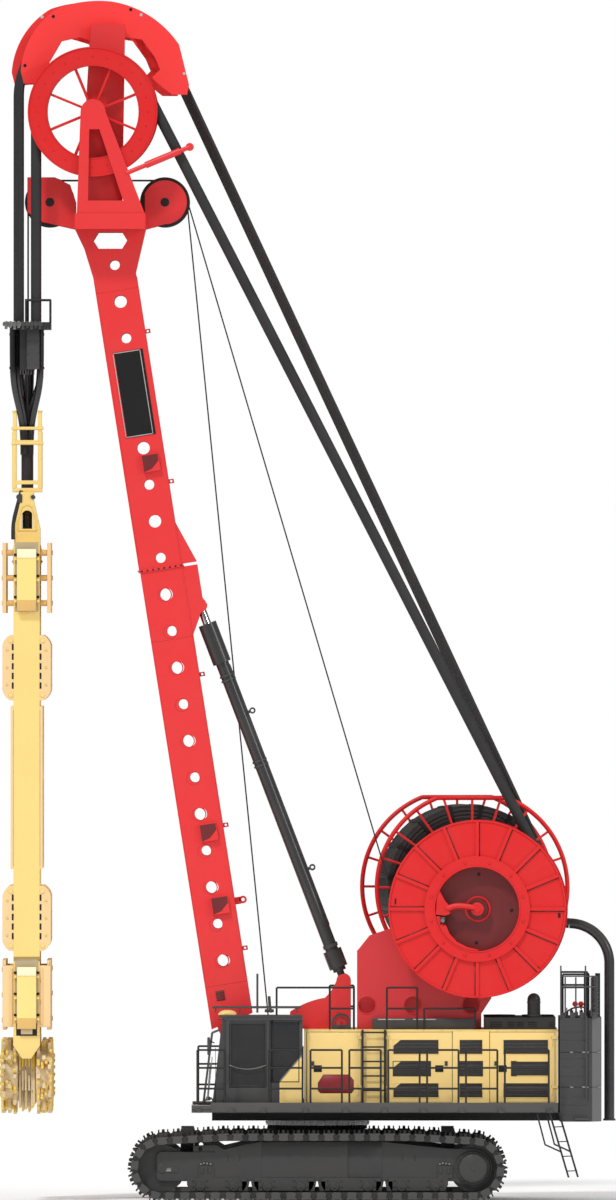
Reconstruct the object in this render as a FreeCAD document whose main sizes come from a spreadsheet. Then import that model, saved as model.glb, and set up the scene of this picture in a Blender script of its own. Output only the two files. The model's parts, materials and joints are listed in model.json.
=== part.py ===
import FreeCAD, Part
import Sketcher
import math
import os

# Trench cutter: a crawler carrier with a leaning mast, two hose drums and a
# hydraulic cutter hanging from the mast head.  Millimetres, +Z up, -X forward
# (the cutter side), origin on the ground under the middle of the length.

SIZES = {
    # crawler undercarriage
    "wheel_base": 6440, "track_spread": 4390, "shoe_width": 950, "shoe_count": 54,
    "track_wheel_radius": 490, "link_height": 130, "shoe_plate": 30, "grouser": 60,
    "track_sag_rise": 80, "hump_half": 1900, "track_wheel_width": 300,
    "frame_plate": 60, "frame_gap": 340, "frame_low": 441, "frame_high": 1262,
    "frame_shoulder": 1000, "frame_shelf": 1052, "frame_nose": 112, "frame_chamfer": 70,
    "frame_top_front": 1143, "frame_top_rear": 1350, "slope_front": 1461, "slope_front_z": 1211,
    "slope_rear": 2119, "slope_rear_z": 1179, "slope_end": 2692, "slope_end_z": 1120,
    "ear_front": 2576, "ear_middle": 2430, "ear_rear": 2098, "ear_foot": 1939, "ear_z": 1171,
    "ear_peak": 1198, "ear_foot_z": 1100, "ear_hole": 45, "housing_radius": 400,
    "guard_length": 1240, "guard_low": 245, "guard_proud": 30, "post_place": 2709,
    "post_width": 265, "post_low": 950, "post_high": 1510, "post_inner": 635, "post_depth": 130,
    "roller_radius": 110, "roller_count": 8, "roller_pitch": 695, "carrier_radius": 90,
    "carrier_spread": 1500, "track_axle": 80, "drive_cover": 298, "drive_cover_out": 140,
    "run_gap": 0.3, "pin_gap": 0.05,
    "carbody_length": 2600, "carbody_low": 620, "carbody_top": 1460, "crossbeam_width": 620,
    "crossbeam_height": 520, "crossbeam_spread": 1900, "pedestal_radius": 970,
    "slew_ring_radius": 1070, "slew_ring_base": 1570, "slew_ring_height": 110,
    # upper carriage
    "platform_front": 2190, "platform_rear": 4980, "platform_half": 1500,
    "platform_height": 180, "floor_height": 150,
    "walk_outer": 2450, "walk_front": 2610, "walk_plate": 40,
    "house_front": 280, "house_half": 1600, "house_height": 1560, "wall": 50,
    "cab_front": 1976, "cab_rear": 310, "cab_outer": 1850, "cab_inner": 800,
    "cab_height": 1900, "cab_roof": 80, "cab_post": 70, "cab_sill": 560,
    "cab_nose": 220, "glass": 12, "door_thick": 45, "door_gap": 8,
    "engine_length": 2300, "engine_width": 1300, "engine_height": 1100, "engine_front": 1900,
    "cooler_front": 3463, "cooler_rear": 4940, "cooler_height": 250, "cooler_half": 1300,
    "exhaust_radius": 135, "exhaust_height": 500, "exhaust_place": 4490,
    "tower_front": 5020, "tower_depth": 620, "tower_chamfer": 250, "tower_half": 1850,
    "tower_low": 1664, "tower_slab": 710,
    "cab_gap": 70, "cab_lift": 54, "cab_wall": 55, "cab_door_width": 820, "door_proud": 60,
    "door_sill": 420, "screen_sill": 150,
    "vent_low": 155, "vent_pitch": 450, "vent_height": 290, "vent_side": 150,
    "vent_latch_side": 290, "vent_short": 170, "slat": 14, "bay_one_end": 905, "bay_two_start": 1425,
    "bay_two_end": 2798, "bay_three_start": 3567, "hinge_inset": 60, "hinge_radius": 16,
    "hinge_length": 140, "knuckle": 60, "leaf_gap": 4,
    "latch_inset": 130, "latch_size": 60, "latch_proud": 25,
    "seat_back": 330, "seat_width": 480, "seat_height": 420, "seat_pad": 120,
    "tank_height": 1300, "slab_seam": 12, "cage_height": 900,
    "rail_first": -146, "rail_pitch": 805, "rail_width": 650, "ladder_end": 1418,
    "ladder_stand": 120, "rear_ladder_run": 394, "rear_ladder_low": 520,
    "rear_ladder_x": 4784, "rear_ladder_width": 380, "rear_ladder_skew": 197, "grip_reach": 240,
    "grip_knee": 1200, "grip_end": 1050, "roof_rail_front": 849, "roof_rail_post": 254,
    "roof_rail_rear": 757, "low_rail_start": 2214, "low_rail_end": 3264,
    "cooler_inner": -1300,
    "bracket_plate": 50, "lug_gap": 8, "fairing_reach": 292, "fairing_step": 340,
    "fairing_curve": 900, "winch_core": 300, "winch_flange": 380, "winch_width": 560,
    "front_winch_x": 1210, "front_winch_z": 2500, "main_winch_x": 1928, "main_winch_y": -440,
    "main_winch_z": 3970,
    # rails and ladders
    "rail_tube": 21, "rail_height": 1150, "rail_mid": 780, "rail_low": 350,
    "roof_rail_height": 870, "ladder_width": 505, "rung_pitch": 300,
    # mast
    "foot_x": 1730, "foot_z": 3328, "mast_lean": 8.9, "mast_half": 550,
    "mast_plate": 25, "mast_joint": 9925, "mast_top": 16100,
    "mast_flange": 30, "flange_proud": 30, "lightening_radius": 130, "lightening_pitch": 770,
    "lightening_first": 1674, "foot_pin": 90, "foot_eye": 230, "foot_lug": 120,
    # mast head
    "head_front": 5040, "head_rear": 3570, "head_low": 20180, "head_height": 330,
    "head_near": 1320, "head_far": 1180, "sheave_groove": 440, "sheave_outer": 520,
    "sheave_width": 90, "rope_play": 6, "sheave_spread": 600, "sheave_axle": 60, "sheave_z": 20748,
    "front_sheave_x": 5564, "rear_sheave_x": 3172, "hoist_rope": 30, "guard_plate": 20,
    # hose guides at the head
    "hose_wheel_x": 4659, "hose_wheel_z": 22614, "hose_wheel_y": 1000, "hose_wheel_outer": 1350,
    "hose_wheel_inner": 955, "hose_wheel_groove": 1186, "hose_wheel_width": 340,
    "hose_wheel_axle": 75, "wheel_flange": 25, "mud_toe": 3.0,
    "arch_x": 4545, "arch_z": 22942, "arch_y": 290, "arch_path": 1685, "arch_half": 740,
    "arch_plate": 25, "hose_toe": 7.8,
    # hose drums
    "mud_drum_x": 3332, "mud_drum_z": 6072, "mud_drum_y": 1420, "mud_flange": 1847,
    "mud_hub_outer": 1096, "mud_hub_inner": 874, "mud_drum_half": 340, "mud_hose": 220,
    "mud_core": 1500, "mud_plate": 20, "mud_rib": 70, "mud_axle": 140,
    "hose_drum_x": 3068, "hose_drum_z": 6500, "hose_drum_y": 1340, "hose_ring": 2049,
    "hose_ring_bar": 94, "hose_drum_half": 1110, "hose_winding": 1730, "winding_half": 720,
    "hose_core": 900, "hose_size": 76, "hose_pitch": 230,
    "flat_height": 1862, "drum_axle": 110, "stand_plate": 60,
    # luffing cylinders
    "luff_base_x": 545, "luff_base_z": 4560, "luff_eye_x": 2444, "luff_eye_z": 12376,
    "luff_spread": 780, "barrel_radius": 135, "gland_radius": 190, "luff_rod": 85,
    "luff_pin": 70, "luff_eye": 150, "luff_eye_width": 190, "collar_radius": 195,
    # cutter
    "cutter_x": 6035, "cutter_half_width": 1500, "column_depth": 545, "column_low": 3700,
    "column_top": 13620, "cutter_wheel_z": 2600, "cutter_wheel_spread": 1640,
    "cutter_wheel_tip": 790, "cutter_wheel_core": 560, "cutter_wheel_half": 530,
    "shield_depth": 360,
    "winch_lead": 100, "stand_near": 835, "stand_inner": 75, "stand_far": 2780, "stand_left": 822,
    "stand_right": 3609, "stand_foot": 3401, "stand_height": 1622, "stand_step": 640, "stand_hub": 260,
    "stand_hole": 175, "stand_hole_place": 1000, "stand_beam": 150, "mud_rib_rise": 45,
    "mud_lay": 225, "drum_recess": 200, "drum_hub": 300, "drum_spoke": 26, "pipe_y": 550, "pipe_radius": 105,
    "pipe_bend_x": 5231, "pipe_bend_z": 5762, "pipe_x": 6063, "pipe_low": 1664,
    "pipe_flange": 130, "pipe_bore": 84, "bolt_circle": 117, "bolt_hole": 7,
    "length_middle": 166,
   
    "mast_front": 430, "mast_back": 462, "mast_taper": 15, "head_flare": 90, "hole_line": 40,
    "window_drop": 230, "window_half": 350, "window_rise": 170, "gusset_rise": 990,
    "lug_first": 1815, "lug_second": 4404, "lug_third": 7577, "lug_fourth": 11642,
    "lug_fifth": 14800, "lug_width": 300, "lug_reach": 110, "lug_height": 90, "lug_bore": 25,
    "box_line": 145, "box_size": 360, "box_depth": 100, "box_first": 2820,
    "box_second": 4355, "box_third": 12126, "sign_width": 600, "sign_length": 1790,
    "sign_middle": 13604, "sign_thick": 15,
    "guide_roller": 60, "leg_near": 1265, "leg_far": 705, "leg_plate": 30,
    "column_half": 420, "column_rise": 1500, "column_gap": 130, "column_depth_y": 90,
    "strut_low_x": 3960, "strut_low_z": 21340, "strut_high_x": 2652, "strut_high_z": 21882,
    "strut_radius": 48, "strut_barrel": 70, "hose_wheel_hub": 180, "hose_hang": 900,
    "rod_show": 416, "gland_length": 874,
    "collar_length": 380, "rod_inside": 1300, "eye_play": 5,
    "side_beam": 450, "shield_radius": 330, "neck_low": 3400, "neck_height": 170,
    "wheel_shaft": 150, "arch_window": 110, "head_depth": 400, "cage_low": 14726,
    "cage_half": 300, "cage_depth": 300, "cage_post": 80, "cage_height_all": 1664,
    "clamp_low": 18100, "clamp_height": 150, "clamp_near": 1080, "clamp_far": 800,
    "clamp_front": 6360, "clamp_rear": 5540, "bundle_box": 150, "bundle_low": 17264,
    "bundle_radius": 125, "bundle_hose": 50, "bundle_spread": 280, "bundle_side": 450,
    "bracket_front": 6060, "bracket_bar": 30, "bracket_height": 480,
    "flap_upper": 12210, "flap_lower": 3560, "flap_height": 1456, "flap_reach": 150,
    "flap_thick": 80, "flap_pin": 35, "shoe_upper": 10400, "shoe_lower": 5200,
    "shoe_height": 1352, "shoe_reach": 230, "channel_low": 6906, "channel_length": 3369,
    "channel_depth": 60, "side_flap_half": 200, "side_flap_height": 1290,
    "side_flap_upper": 12250, "side_flap_lower": 3580, "side_flap_stand": 60,
    "tooth_width": 70, "tooth_depth": 90,
}

doc = FreeCAD.newDocument("trench_cutter")
sheet = doc.addObject("Spreadsheet::Sheet", "Sizes")
for row, (alias, amount) in enumerate(SIZES.items(), start=1):
    sheet.set("A%d" % row, alias)
    sheet.set("B%d" % row, "%g" % amount)
    sheet.setAlias("B%d" % row, alias)
doc.recompute()


class Size:
    """A length with its value and the sheet expression that it comes from."""

    def __init__(self, value, text):
        self.value = value
        self.text = text

    def __add__(self, other):
        return Size(self.value + number(other), "(%s + %s)" % (self.text, words(other)))

    __radd__ = __add__

    def __sub__(self, other):
        return Size(self.value - number(other), "(%s - %s)" % (self.text, words(other)))

    def __rsub__(self, other):
        return Size(number(other) - self.value, "(%s - %s)" % (words(other), self.text))

    def __mul__(self, other):
        return Size(self.value * number(other), "(%s * %s)" % (self.text, words(other)))

    __rmul__ = __mul__

    def __truediv__(self, other):
        return Size(self.value / number(other), "(%s / %s)" % (self.text, words(other)))

    def __neg__(self):
        return Size(-self.value, "(0 - %s)" % self.text)


def number(amount):
    return amount.value if isinstance(amount, Size) else float(amount)


def words(amount):
    return amount.text if isinstance(amount, Size) else "(%.9g)" % amount


class Named:
    """Every cell of the sheet as an attribute."""


d = Named()
for alias in SIZES:
    setattr(d, alias, Size(float(sheet.get(alias)), "Sizes." + alias))

X_AXIS = FreeCAD.Vector(1, 0, 0)
Y_AXIS = FreeCAD.Vector(0, 1, 0)
Z_AXIS = FreeCAD.Vector(0, 0, 1)
used_names = {}


def unique(name):
    used_names[name] = used_names.get(name, 0) + 1
    return "%s_%d" % (name, used_names[name])


def bind(thing, cell, amount):
    if isinstance(amount, Size):
        thing.setExpression(cell, amount.text)


def put(thing, place, turn=None):
    """Place an object, keeping its position bound to the sheet."""
    rotation = turn if turn else FreeCAD.Rotation()
    base = FreeCAD.Vector(*[number(c) for c in place])
    thing.Placement = FreeCAD.Placement(base, rotation)
    for axis, amount in zip("xyz", place):
        bind(thing, ".Placement.Base." + axis, amount)
    return thing


def box(low, span, name="block"):
    thing = doc.addObject("Part::Box", unique(name))
    for cell, amount in zip(("Length", "Width", "Height"), span):
        setattr(thing, cell, number(amount))
        bind(thing, cell, amount)
    return put(thing, low)


def rod(base, axis, radius, length, name="bar"):
    thing = doc.addObject("Part::Cylinder", unique(name))
    thing.Radius = number(radius)
    thing.Height = number(length)
    bind(thing, "Radius", radius)
    bind(thing, "Height", length)
    return put(thing, base, FreeCAD.Rotation(Z_AXIS, axis))


def fuse(parts, name="joined"):
    thing = doc.addObject("Part::MultiFuse", unique(name))
    thing.Shapes = parts
    thing.Refine = True
    return thing


def cut(base, tools, name="cut"):
    thing = doc.addObject("Part::Cut", unique(name))
    thing.Base = base
    thing.Tool = tools[0] if len(tools) == 1 else group(tools)
    return thing


def group(parts, name="group"):
    thing = doc.addObject("Part::Compound", unique(name))
    thing.Links = parts
    return thing


def ring(base, axis, outer, inner, length, name="ring"):
    return cut(rod(base, axis, outer, length), [rod(base, axis, inner, length)], name)


def pin_down(sketch, geometry, end, point):
    """Hold one sketch point at its distances from the sketch's origin."""
    for kind, amount in (("DistanceX", point[0]), ("DistanceY", point[1])):
        rule = Sketcher.Constraint(kind, -1, 1, geometry, end, number(amount))
        index = sketch.addConstraint(rule)
        bind(sketch, "Constraints[%d]" % index, amount)


def flat_point(point):
    return FreeCAD.Vector(number(point[0]), number(point[1]), 0)


def arc_between(start, end, radius):
    """Arc from start to end, anticlockwise when the radius is positive."""
    size = abs(radius)
    chord = end - start
    rise = math.sqrt(max(size * size - chord.Length ** 2 / 4, 0))
    left = FreeCAD.Vector(-chord.y, chord.x, 0).normalize()
    centre = (start + end) * 0.5 + left * (rise if radius > 0 else -rise)
    first, last = (start, end) if radius > 0 else (end, start)
    angles = [math.atan2(p.y - centre.y, p.x - centre.x) for p in (first, last)]
    return Part.ArcOfCircle(Part.Circle(centre, Z_AXIS, size), angles[0], angles[1])


def draw_loop(sketch, points):
    """Closed outline; a point's third value is the radius of the arc that reaches it."""
    count = len(points)
    edges = []
    for index in range(count):
        goal = points[(index + 1) % count]
        start, end = flat_point(points[index]), flat_point(goal)
        if len(goal) < 3:
            edges.append((sketch.addGeometry(Part.LineSegment(start, end)), 1, 2, None))
        else:
            curve = arc_between(start, end, number(goal[2]))
            ends = (1, 2) if number(goal[2]) > 0 else (2, 1)
            edges.append((sketch.addGeometry(curve), ends[0], ends[1], goal[2]))
    for index in range(count):
        edge, first, last, radius = edges[index]
        after = edges[(index + 1) % count]
        sketch.addConstraint(Sketcher.Constraint("Coincident", edge, last, after[0], after[1]))
        pin_down(sketch, edge, first, points[index])
        if radius is not None:
            size = radius if number(radius) > 0 else -radius
            rule = sketch.addConstraint(Sketcher.Constraint("Radius", edge, number(size)))
            bind(sketch, "Constraints[%d]" % rule, size)


def draw_circle(sketch, centre, radius):
    curve = Part.Circle(flat_point(centre), Z_AXIS, number(radius))
    edge = sketch.addGeometry(curve)
    pin_down(sketch, edge, 3, centre)
    rule = sketch.addConstraint(Sketcher.Constraint("Radius", edge, number(radius)))
    bind(sketch, "Constraints[%d]" % rule, radius)


def plate(plane, points, start, depth, holes=(), circles=(), name="plate"):
    """Pad an outline drawn in the XZ, YZ or XY plane from start over depth."""
    body = doc.addObject("PartDesign::Body", unique(name))
    sketch = body.newObject("Sketcher::SketchObject", unique(name + "_outline"))
    for feature in body.Origin.OriginFeatures:
        if feature.Role == plane + "_Plane":
            sketch.AttachmentSupport = (feature, [""])
    sketch.MapMode = "FlatFace"
    if len(points) > 1:
        draw_loop(sketch, points)
    for hole in holes:
        draw_loop(sketch, hole)
    for centre, radius in circles:
        draw_circle(sketch, centre, radius)
    pad = body.newObject("PartDesign::Pad", unique(name + "_pad"))
    pad.Profile = sketch
    pad.Length = number(depth)
    bind(pad, "Length", depth)
    pad.Reversed = plane == "XZ"
    body.Tip = pad
    offset = {"XZ": (0, start, 0), "YZ": (start, 0, 0), "XY": (0, 0, start)}[plane]
    return put(body, offset)


def rectangle(low_a, low_b, high_a, high_b):
    return [(low_a, low_b), (high_a, low_b), (high_a, high_b), (low_a, high_b)]


def around(count, make, first=0.0):
    """Copies made at equal angles, each given its angle in degrees."""
    return [make(first + 360.0 * index / count) for index in range(count)]


def polar(radius, angle):
    turn = math.radians(angle)
    return radius * math.cos(turn), radius * math.sin(turn)


def tube(points, radius, name="tube"):
    """Round bar or hose along straight runs joined at ball-shaped corners."""
    parts = []
    for start, end in zip(points[:-1], points[1:]):
        a, b = [FreeCAD.Vector(*[number(c) for c in p]) for p in (start, end)]
        parts.append(rod(start, (b - a).normalize(), radius, (b - a).Length, name))
    for corner in points[1:-1]:
        ball = doc.addObject("Part::Sphere", unique(name))
        ball.Radius = number(radius)
        bind(ball, "Radius", radius)
        parts.append(put(ball, corner))
    return parts


nodes = []


def finish(thing, label, place=(0, 0, 0), turn=None):
    """Give a sub-part its name and its place; the origin is under the middle of the length."""
    whole = group([thing], label)
    put(whole, (place[0] + middle_shift, place[1], place[2]), turn)
    whole.Label = label
    nodes.append(whole)
    return whole


middle_shift = d.length_middle

# ---------------------------------------------------------------- undercarriage
track_outer = d.track_wheel_radius + d.link_height + d.shoe_plate
track_centre_z = track_outer + d.grouser


def track_path(offset):
    """Runs of the track loop at a distance outside the wheels: lines and arcs, in order."""
    half, radius = number(d.wheel_base) / 2, number(d.track_wheel_radius) + offset
    z = number(track_centre_z)
    hump, rise = number(d.hump_half), number(d.track_sag_rise)
    slope = math.atan2(rise, half - hump)
    edge_x, edge_z = half + radius * math.sin(slope), z + radius * math.cos(slope)
    top_x, top_z = hump + radius * math.tan(slope / 2), z + radius + rise
    lean_angle = math.degrees(slope)
    return [
        ("line", (-half, z - radius), (half, z - radius)),
        ("arc", (half, z), -90.0, 90.0 - lean_angle, radius),
        ("line", (edge_x, edge_z), (top_x, top_z)),
        ("line", (top_x, top_z), (-top_x, top_z)),
        ("line", (-top_x, top_z), (-edge_x, edge_z)),
        ("arc", (-half, z), 90.0 + lean_angle, 270.0, radius),
    ]


def run_length(run):
    if run[0] == "line":
        return math.dist(run[1], run[2])
    return math.radians(run[3] - run[2]) * run[4]


def arc_point(run, angle, lift=0.0):
    x, z = polar(run[4] + lift, angle)
    return FreeCAD.Vector(run[1][0] + x, 0, run[1][1] + z)


def loop_point(runs, travel, lift):
    """Point at a travel along the loop, lifted outwards."""
    left = travel
    for run in runs:
        if left <= run_length(run):
            break
        left -= run_length(run)
    if run[0] == "arc":
        return arc_point(run, run[2] + math.degrees(left / run[4]), lift)
    (ax, az), (bx, bz) = run[1], run[2]
    length = run_length(run)
    share = left / length
    nx, nz = (bz - az) / length, (ax - bx) / length
    return FreeCAD.Vector(ax + (bx - ax) * share + nx * lift, 0, az + (bz - az) * share + nz * lift)


def loop_wire(runs):
    """Closed wire of the loop's lines and arcs."""
    edges = []
    for run in runs:
        if run[0] == "line":
            ends = [FreeCAD.Vector(x, 0, z) for x, z in run[1:3]]
            edges.append(Part.LineSegment(*ends).toShape())
        else:
            middle = (run[2] + run[3]) / 2
            edges.append(Part.Arc(*[arc_point(run, a) for a in (run[2], middle, run[3])]).toShape())
    return Part.Wire(edges)


def track_loop(side, label):
    """One fixed track: links and shoes in a closed band, a grouser bar on every shoe."""
    bar, gap = number(d.grouser), -number(d.shoe_plate)
    shoe_profile = ((0.06, gap), (0.10, 0.0), (0.40, 0.0), (0.42, bar), (0.58, bar), (0.60, 0.0),
                    (0.90, 0.0), (0.94, gap))
    runs = track_path(number(d.link_height + d.shoe_plate))
    pitch = sum(run_length(run) for run in runs) / number(d.shoe_count)
    outline = []
    for shoe in range(int(number(d.shoe_count))):
        for share, lift in shoe_profile:
            outline.append(loop_point(runs, (shoe + share) * pitch, lift))
    outer = Part.Face(Part.makePolygon(outline + outline[:1]))
    inner = Part.Face(loop_wire(track_path(0.0)))
    band = outer.cut(inner).extrude(FreeCAD.Vector(0, number(d.shoe_width), 0))
    thing = doc.addObject("Part::Feature", unique("track"))
    thing.Shape = band
    put(thing, (0, side * d.track_spread / 2 - d.shoe_width / 2, 0))
    return finish(thing, label)


def roller_guards(start):
    """Four guard plates along the frame's foot, each over two of the track rollers."""
    half, low, high = d.guard_length / 2, d.guard_low, d.frame_low + d.frame_chamfer
    gap = d.frame_chamfer
    guards = []
    for index in range(4):
        x = d.roller_pitch * (index * 2.0 - 3.0)
        outline = [(x - half + gap, low), (x + half - gap, low), (x + half, d.frame_low - gap),
                   (x + half, high), (x - half, high), (x - half, d.frame_low - gap)]
        guards.append(plate("XZ", outline, start, d.frame_plate, name="guard"))
    return guards


def jack_posts(side):
    """Two lifting posts on the inner side of a frame, each on its arm under the track."""
    reach = d.frame_gap / 2 + d.frame_plate
    inner = side * d.track_spread / 2 - side * d.post_inner
    arm = inner if side > 0 else inner - d.post_inner + reach
    post = inner if side > 0 else inner - d.post_depth
    parts = []
    for end in (-1, 1):
        x = end * d.post_place - d.post_width / 2
        parts.append(box((x, arm, d.post_low), (d.post_width, d.post_inner - reach, d.frame_chamfer)))
        parts.append(box((x, post, d.post_low), (d.post_width, d.post_depth, d.post_high - d.post_low)))
    return parts


def track_frame(side, label):
    """Side frame: two cheek plates with the roller beam between them."""
    middle = side * d.track_spread / 2
    half = d.wheel_base / 2
    z = track_centre_z
    round_end, chamfer = d.housing_radius, d.frame_chamfer
    nose = -half - d.frame_nose
    outline = [
        (nose, d.frame_low + chamfer), (nose + chamfer, d.frame_low),
        (half - round_end, d.frame_low), (half, z - round_end), (half + round_end, z, round_end),
        (half, z + round_end, round_end), (d.slope_end, d.slope_end_z), (d.slope_rear, d.slope_rear_z),
        (d.frame_top_rear, d.frame_high), (-d.frame_top_front, d.frame_high),
        (-d.slope_front, d.slope_front_z), (-d.ear_foot, d.ear_foot_z), (-d.ear_rear, d.ear_peak),
        (-d.ear_front, d.ear_z), (-d.ear_front, d.frame_shelf), (nose + chamfer, d.frame_shelf),
        (nose, d.frame_shelf - chamfer),
    ]
    bores = [((side_x * half, z), d.track_axle + d.pin_gap) for side_x in (-1, 1)]
    bores.append(((-d.ear_middle, (d.ear_z + d.frame_shelf) / 2), d.ear_hole))
    gap = d.frame_gap
    cheeks = []
    for start in (middle - gap / 2 - d.frame_plate, middle + gap / 2):
        cheeks.append(plate("XZ", outline, start, d.frame_plate, circles=bores, name="cheek"))
    for start in (middle - gap / 2 - d.frame_plate - d.guard_proud, middle + gap / 2 + d.guard_proud):
        cheeks += roller_guards(start)
    beam_half = half - d.track_wheel_radius - d.frame_plate
    beam_low = z - d.track_wheel_radius + d.roller_radius * 2 + d.frame_plate
    beam = box((-beam_half, middle - gap / 2, beam_low), (beam_half * 2, gap, d.frame_shoulder - beam_low))
    pad_block = box((-d.frame_top_front, middle - gap / 2, d.frame_shoulder),
                    (d.frame_top_front * 2, gap, d.frame_plate))
    return finish(fuse([beam, pad_block] + cheeks + jack_posts(side)), label)


def track_wheels(side, label):
    """Idler, sprocket with its drive, track rollers and carrier rollers of one side."""
    middle = side * d.track_spread / 2
    half_width = d.track_wheel_width / 2
    parts = []
    axle_reach = d.frame_gap / 2 + d.frame_plate
    for end in (-1, 1):
        centre = (end * d.wheel_base / 2, middle - half_width, track_centre_z)
        wheel = rod(centre, Y_AXIS, d.track_wheel_radius - d.run_gap, d.track_wheel_width)
        axle = rod((end * d.wheel_base / 2, middle - axle_reach, track_centre_z), Y_AXIS,
                   d.track_axle, axle_reach * 2)
        pieces = [wheel, axle]
        if end > 0:
            out = axle_reach if side > 0 else -axle_reach - d.drive_cover_out
            pieces.append(rod((end * d.wheel_base / 2, middle + out, track_centre_z), Y_AXIS,
                              d.drive_cover, d.drive_cover_out))
        parts.append(fuse(pieces))
    low = track_centre_z - d.track_wheel_radius
    count = int(number(d.roller_count))
    for index in range(count):
        x = d.roller_pitch * (index - (count - 1) / 2)
        parts.append(rod((x, middle - d.frame_gap / 2, low + d.roller_radius + d.run_gap), Y_AXIS,
                         d.roller_radius, d.frame_gap))
    top = track_centre_z + d.track_wheel_radius + d.track_sag_rise
    for end in (-1, 1):
        z = top - d.carrier_radius - d.run_gap
        post_low = d.frame_shoulder + d.frame_plate
        x = end * d.carrier_spread / 2
        stem = box((x - d.carrier_radius / 2, middle - half_width / 2, post_low),
                   (d.carrier_radius, half_width, z - post_low))
        parts.append(fuse([rod((x, middle - half_width, z), Y_AXIS, d.carrier_radius,
                               d.track_wheel_width), stem]))
    return finish(group(parts), label)


def carbody():
    """Centre body with two cross beams and the pedestal under the slewing ring."""
    beam_reach = d.track_spread / 2 - d.frame_gap / 2 - d.frame_plate
    parts = [box((-d.carbody_length / 2, -d.carbody_length / 2.4, d.carbody_low),
                 (d.carbody_length, d.carbody_length / 1.2, d.carbody_top - d.carbody_low))]
    for end in (-1, 1):
        x = end * d.crossbeam_spread / 2 - d.crossbeam_width / 2
        parts.append(box((x, -beam_reach, d.carbody_low), (d.crossbeam_width, beam_reach * 2,
                                                          d.crossbeam_height)))
    parts.append(rod((0, 0, d.carbody_top), Z_AXIS, d.pedestal_radius,
                     d.slew_ring_base - d.carbody_top))
    return finish(fuse(parts), "carbody")


def slew_ring():
    """Ring bearing between the carbody and the platform."""
    return finish(ring((0, 0, d.slew_ring_base), Z_AXIS, d.slew_ring_radius,
                       d.slew_ring_radius * 0.78, d.slew_ring_height), "slew_ring")


def undercarriage():
    for side, word in ((-1, "left"), (1, "right")):
        track_loop(side, "track_" + word)
        track_frame(side, "track_frame_" + word)
        track_wheels(side, "track_wheels_" + word)
    carbody()
    slew_ring()


# ---------------------------------------------------------------- upper carriage
platform_base = d.slew_ring_base + d.slew_ring_height + d.run_gap
platform_top = platform_base + d.platform_height
floor_top = platform_top + d.floor_height
roof_top = floor_top + d.house_height


def platform():
    """Main frame, with the floor of the house on it and the end plate for the counterweight."""
    frame = box((-d.platform_front, -d.platform_half, platform_base),
                (d.platform_front + d.tower_front, d.platform_half * 2, d.platform_height))
    floor = box((-d.house_front, -d.house_half, platform_top),
                (d.house_front + d.platform_rear, d.house_half * 2, d.floor_height))
    return finish(fuse([frame, floor]), "platform")


def walkway(side):
    """Walkway on one side: tread plate, outer edge channel and cross ribs."""
    inner = d.cab_outer + d.cab_gap
    outline = [(-d.walk_front, d.walk_outer), (d.platform_rear, d.walk_outer),
               (d.platform_rear, d.house_half), (-d.house_front, d.house_half),
               (-d.house_front, inner), (-d.walk_front, inner)]
    outline = [(x, side * y) for x, y in outline]
    tread = plate("XY", outline, floor_top - d.walk_plate, d.walk_plate, name="tread")
    edge_y = -d.walk_outer if side < 0 else d.walk_outer - d.walk_plate
    drop = d.floor_height - d.walk_plate
    parts = [tread, box((-d.walk_front, edge_y, platform_top),
                        (d.walk_front + d.platform_rear, d.walk_plate, drop))]
    front_y = -d.walk_outer if side < 0 else inner
    parts.append(box((-d.walk_front, front_y, platform_top),
                     (d.walk_plate, d.walk_outer - inner, drop)))
    rib_y = -d.walk_outer if side < 0 else d.house_half
    for index in range(6):
        x = d.rail_first + d.rail_pitch * index
        parts.append(box((x, rib_y, platform_top), (d.walk_plate, d.walk_outer - d.house_half, drop)))
    return fuse(parts)


def vent(x, width, row, y, depth):
    """One louvred vent: its recess tool and the slats that go into it."""
    z = floor_top + d.vent_low + row * d.vent_pitch
    recess = box((x, y, z), (width, depth, d.vent_height))
    slats = []
    for index in range(5):
        slat_z = z + d.vent_height * (index + 0.5) / 5 - d.slat / 2
        slats.append(box((x, y + depth * 0.2, slat_z), (width, depth * 0.8, d.slat)))
    return recess, slats


def louvred(panel, x, width, y, depth, short=(0, 0)):
    """Cut three vents into a panel and set their slats; the middle one leaves room for a latch."""
    recesses, slats = [], []
    for row in range(3):
        left, right = short if row == 1 else (0, 0)
        recess, bars = vent(x + left, width - left - right, row, y, depth)
        recesses.append(recess)
        slats.extend(bars)
    return fuse([cut(panel, recesses)] + slats)


door_low = floor_top + d.wall
door_height = d.house_height - d.wall * 2
door_bays = {
    "house_door_front": (-d.house_front + d.wall, d.bay_one_end, 1),
    "house_door_middle": (d.bay_two_start, d.bay_two_end, -1),
    "house_door_rear": (d.bay_three_start, d.platform_rear - d.wall, 1),
}


def hinge_levels():
    """Heights of the hinges on the house doors."""
    return [door_low + door_height * share - d.hinge_length / 2 for share in (0.15, 0.85)]


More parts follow.
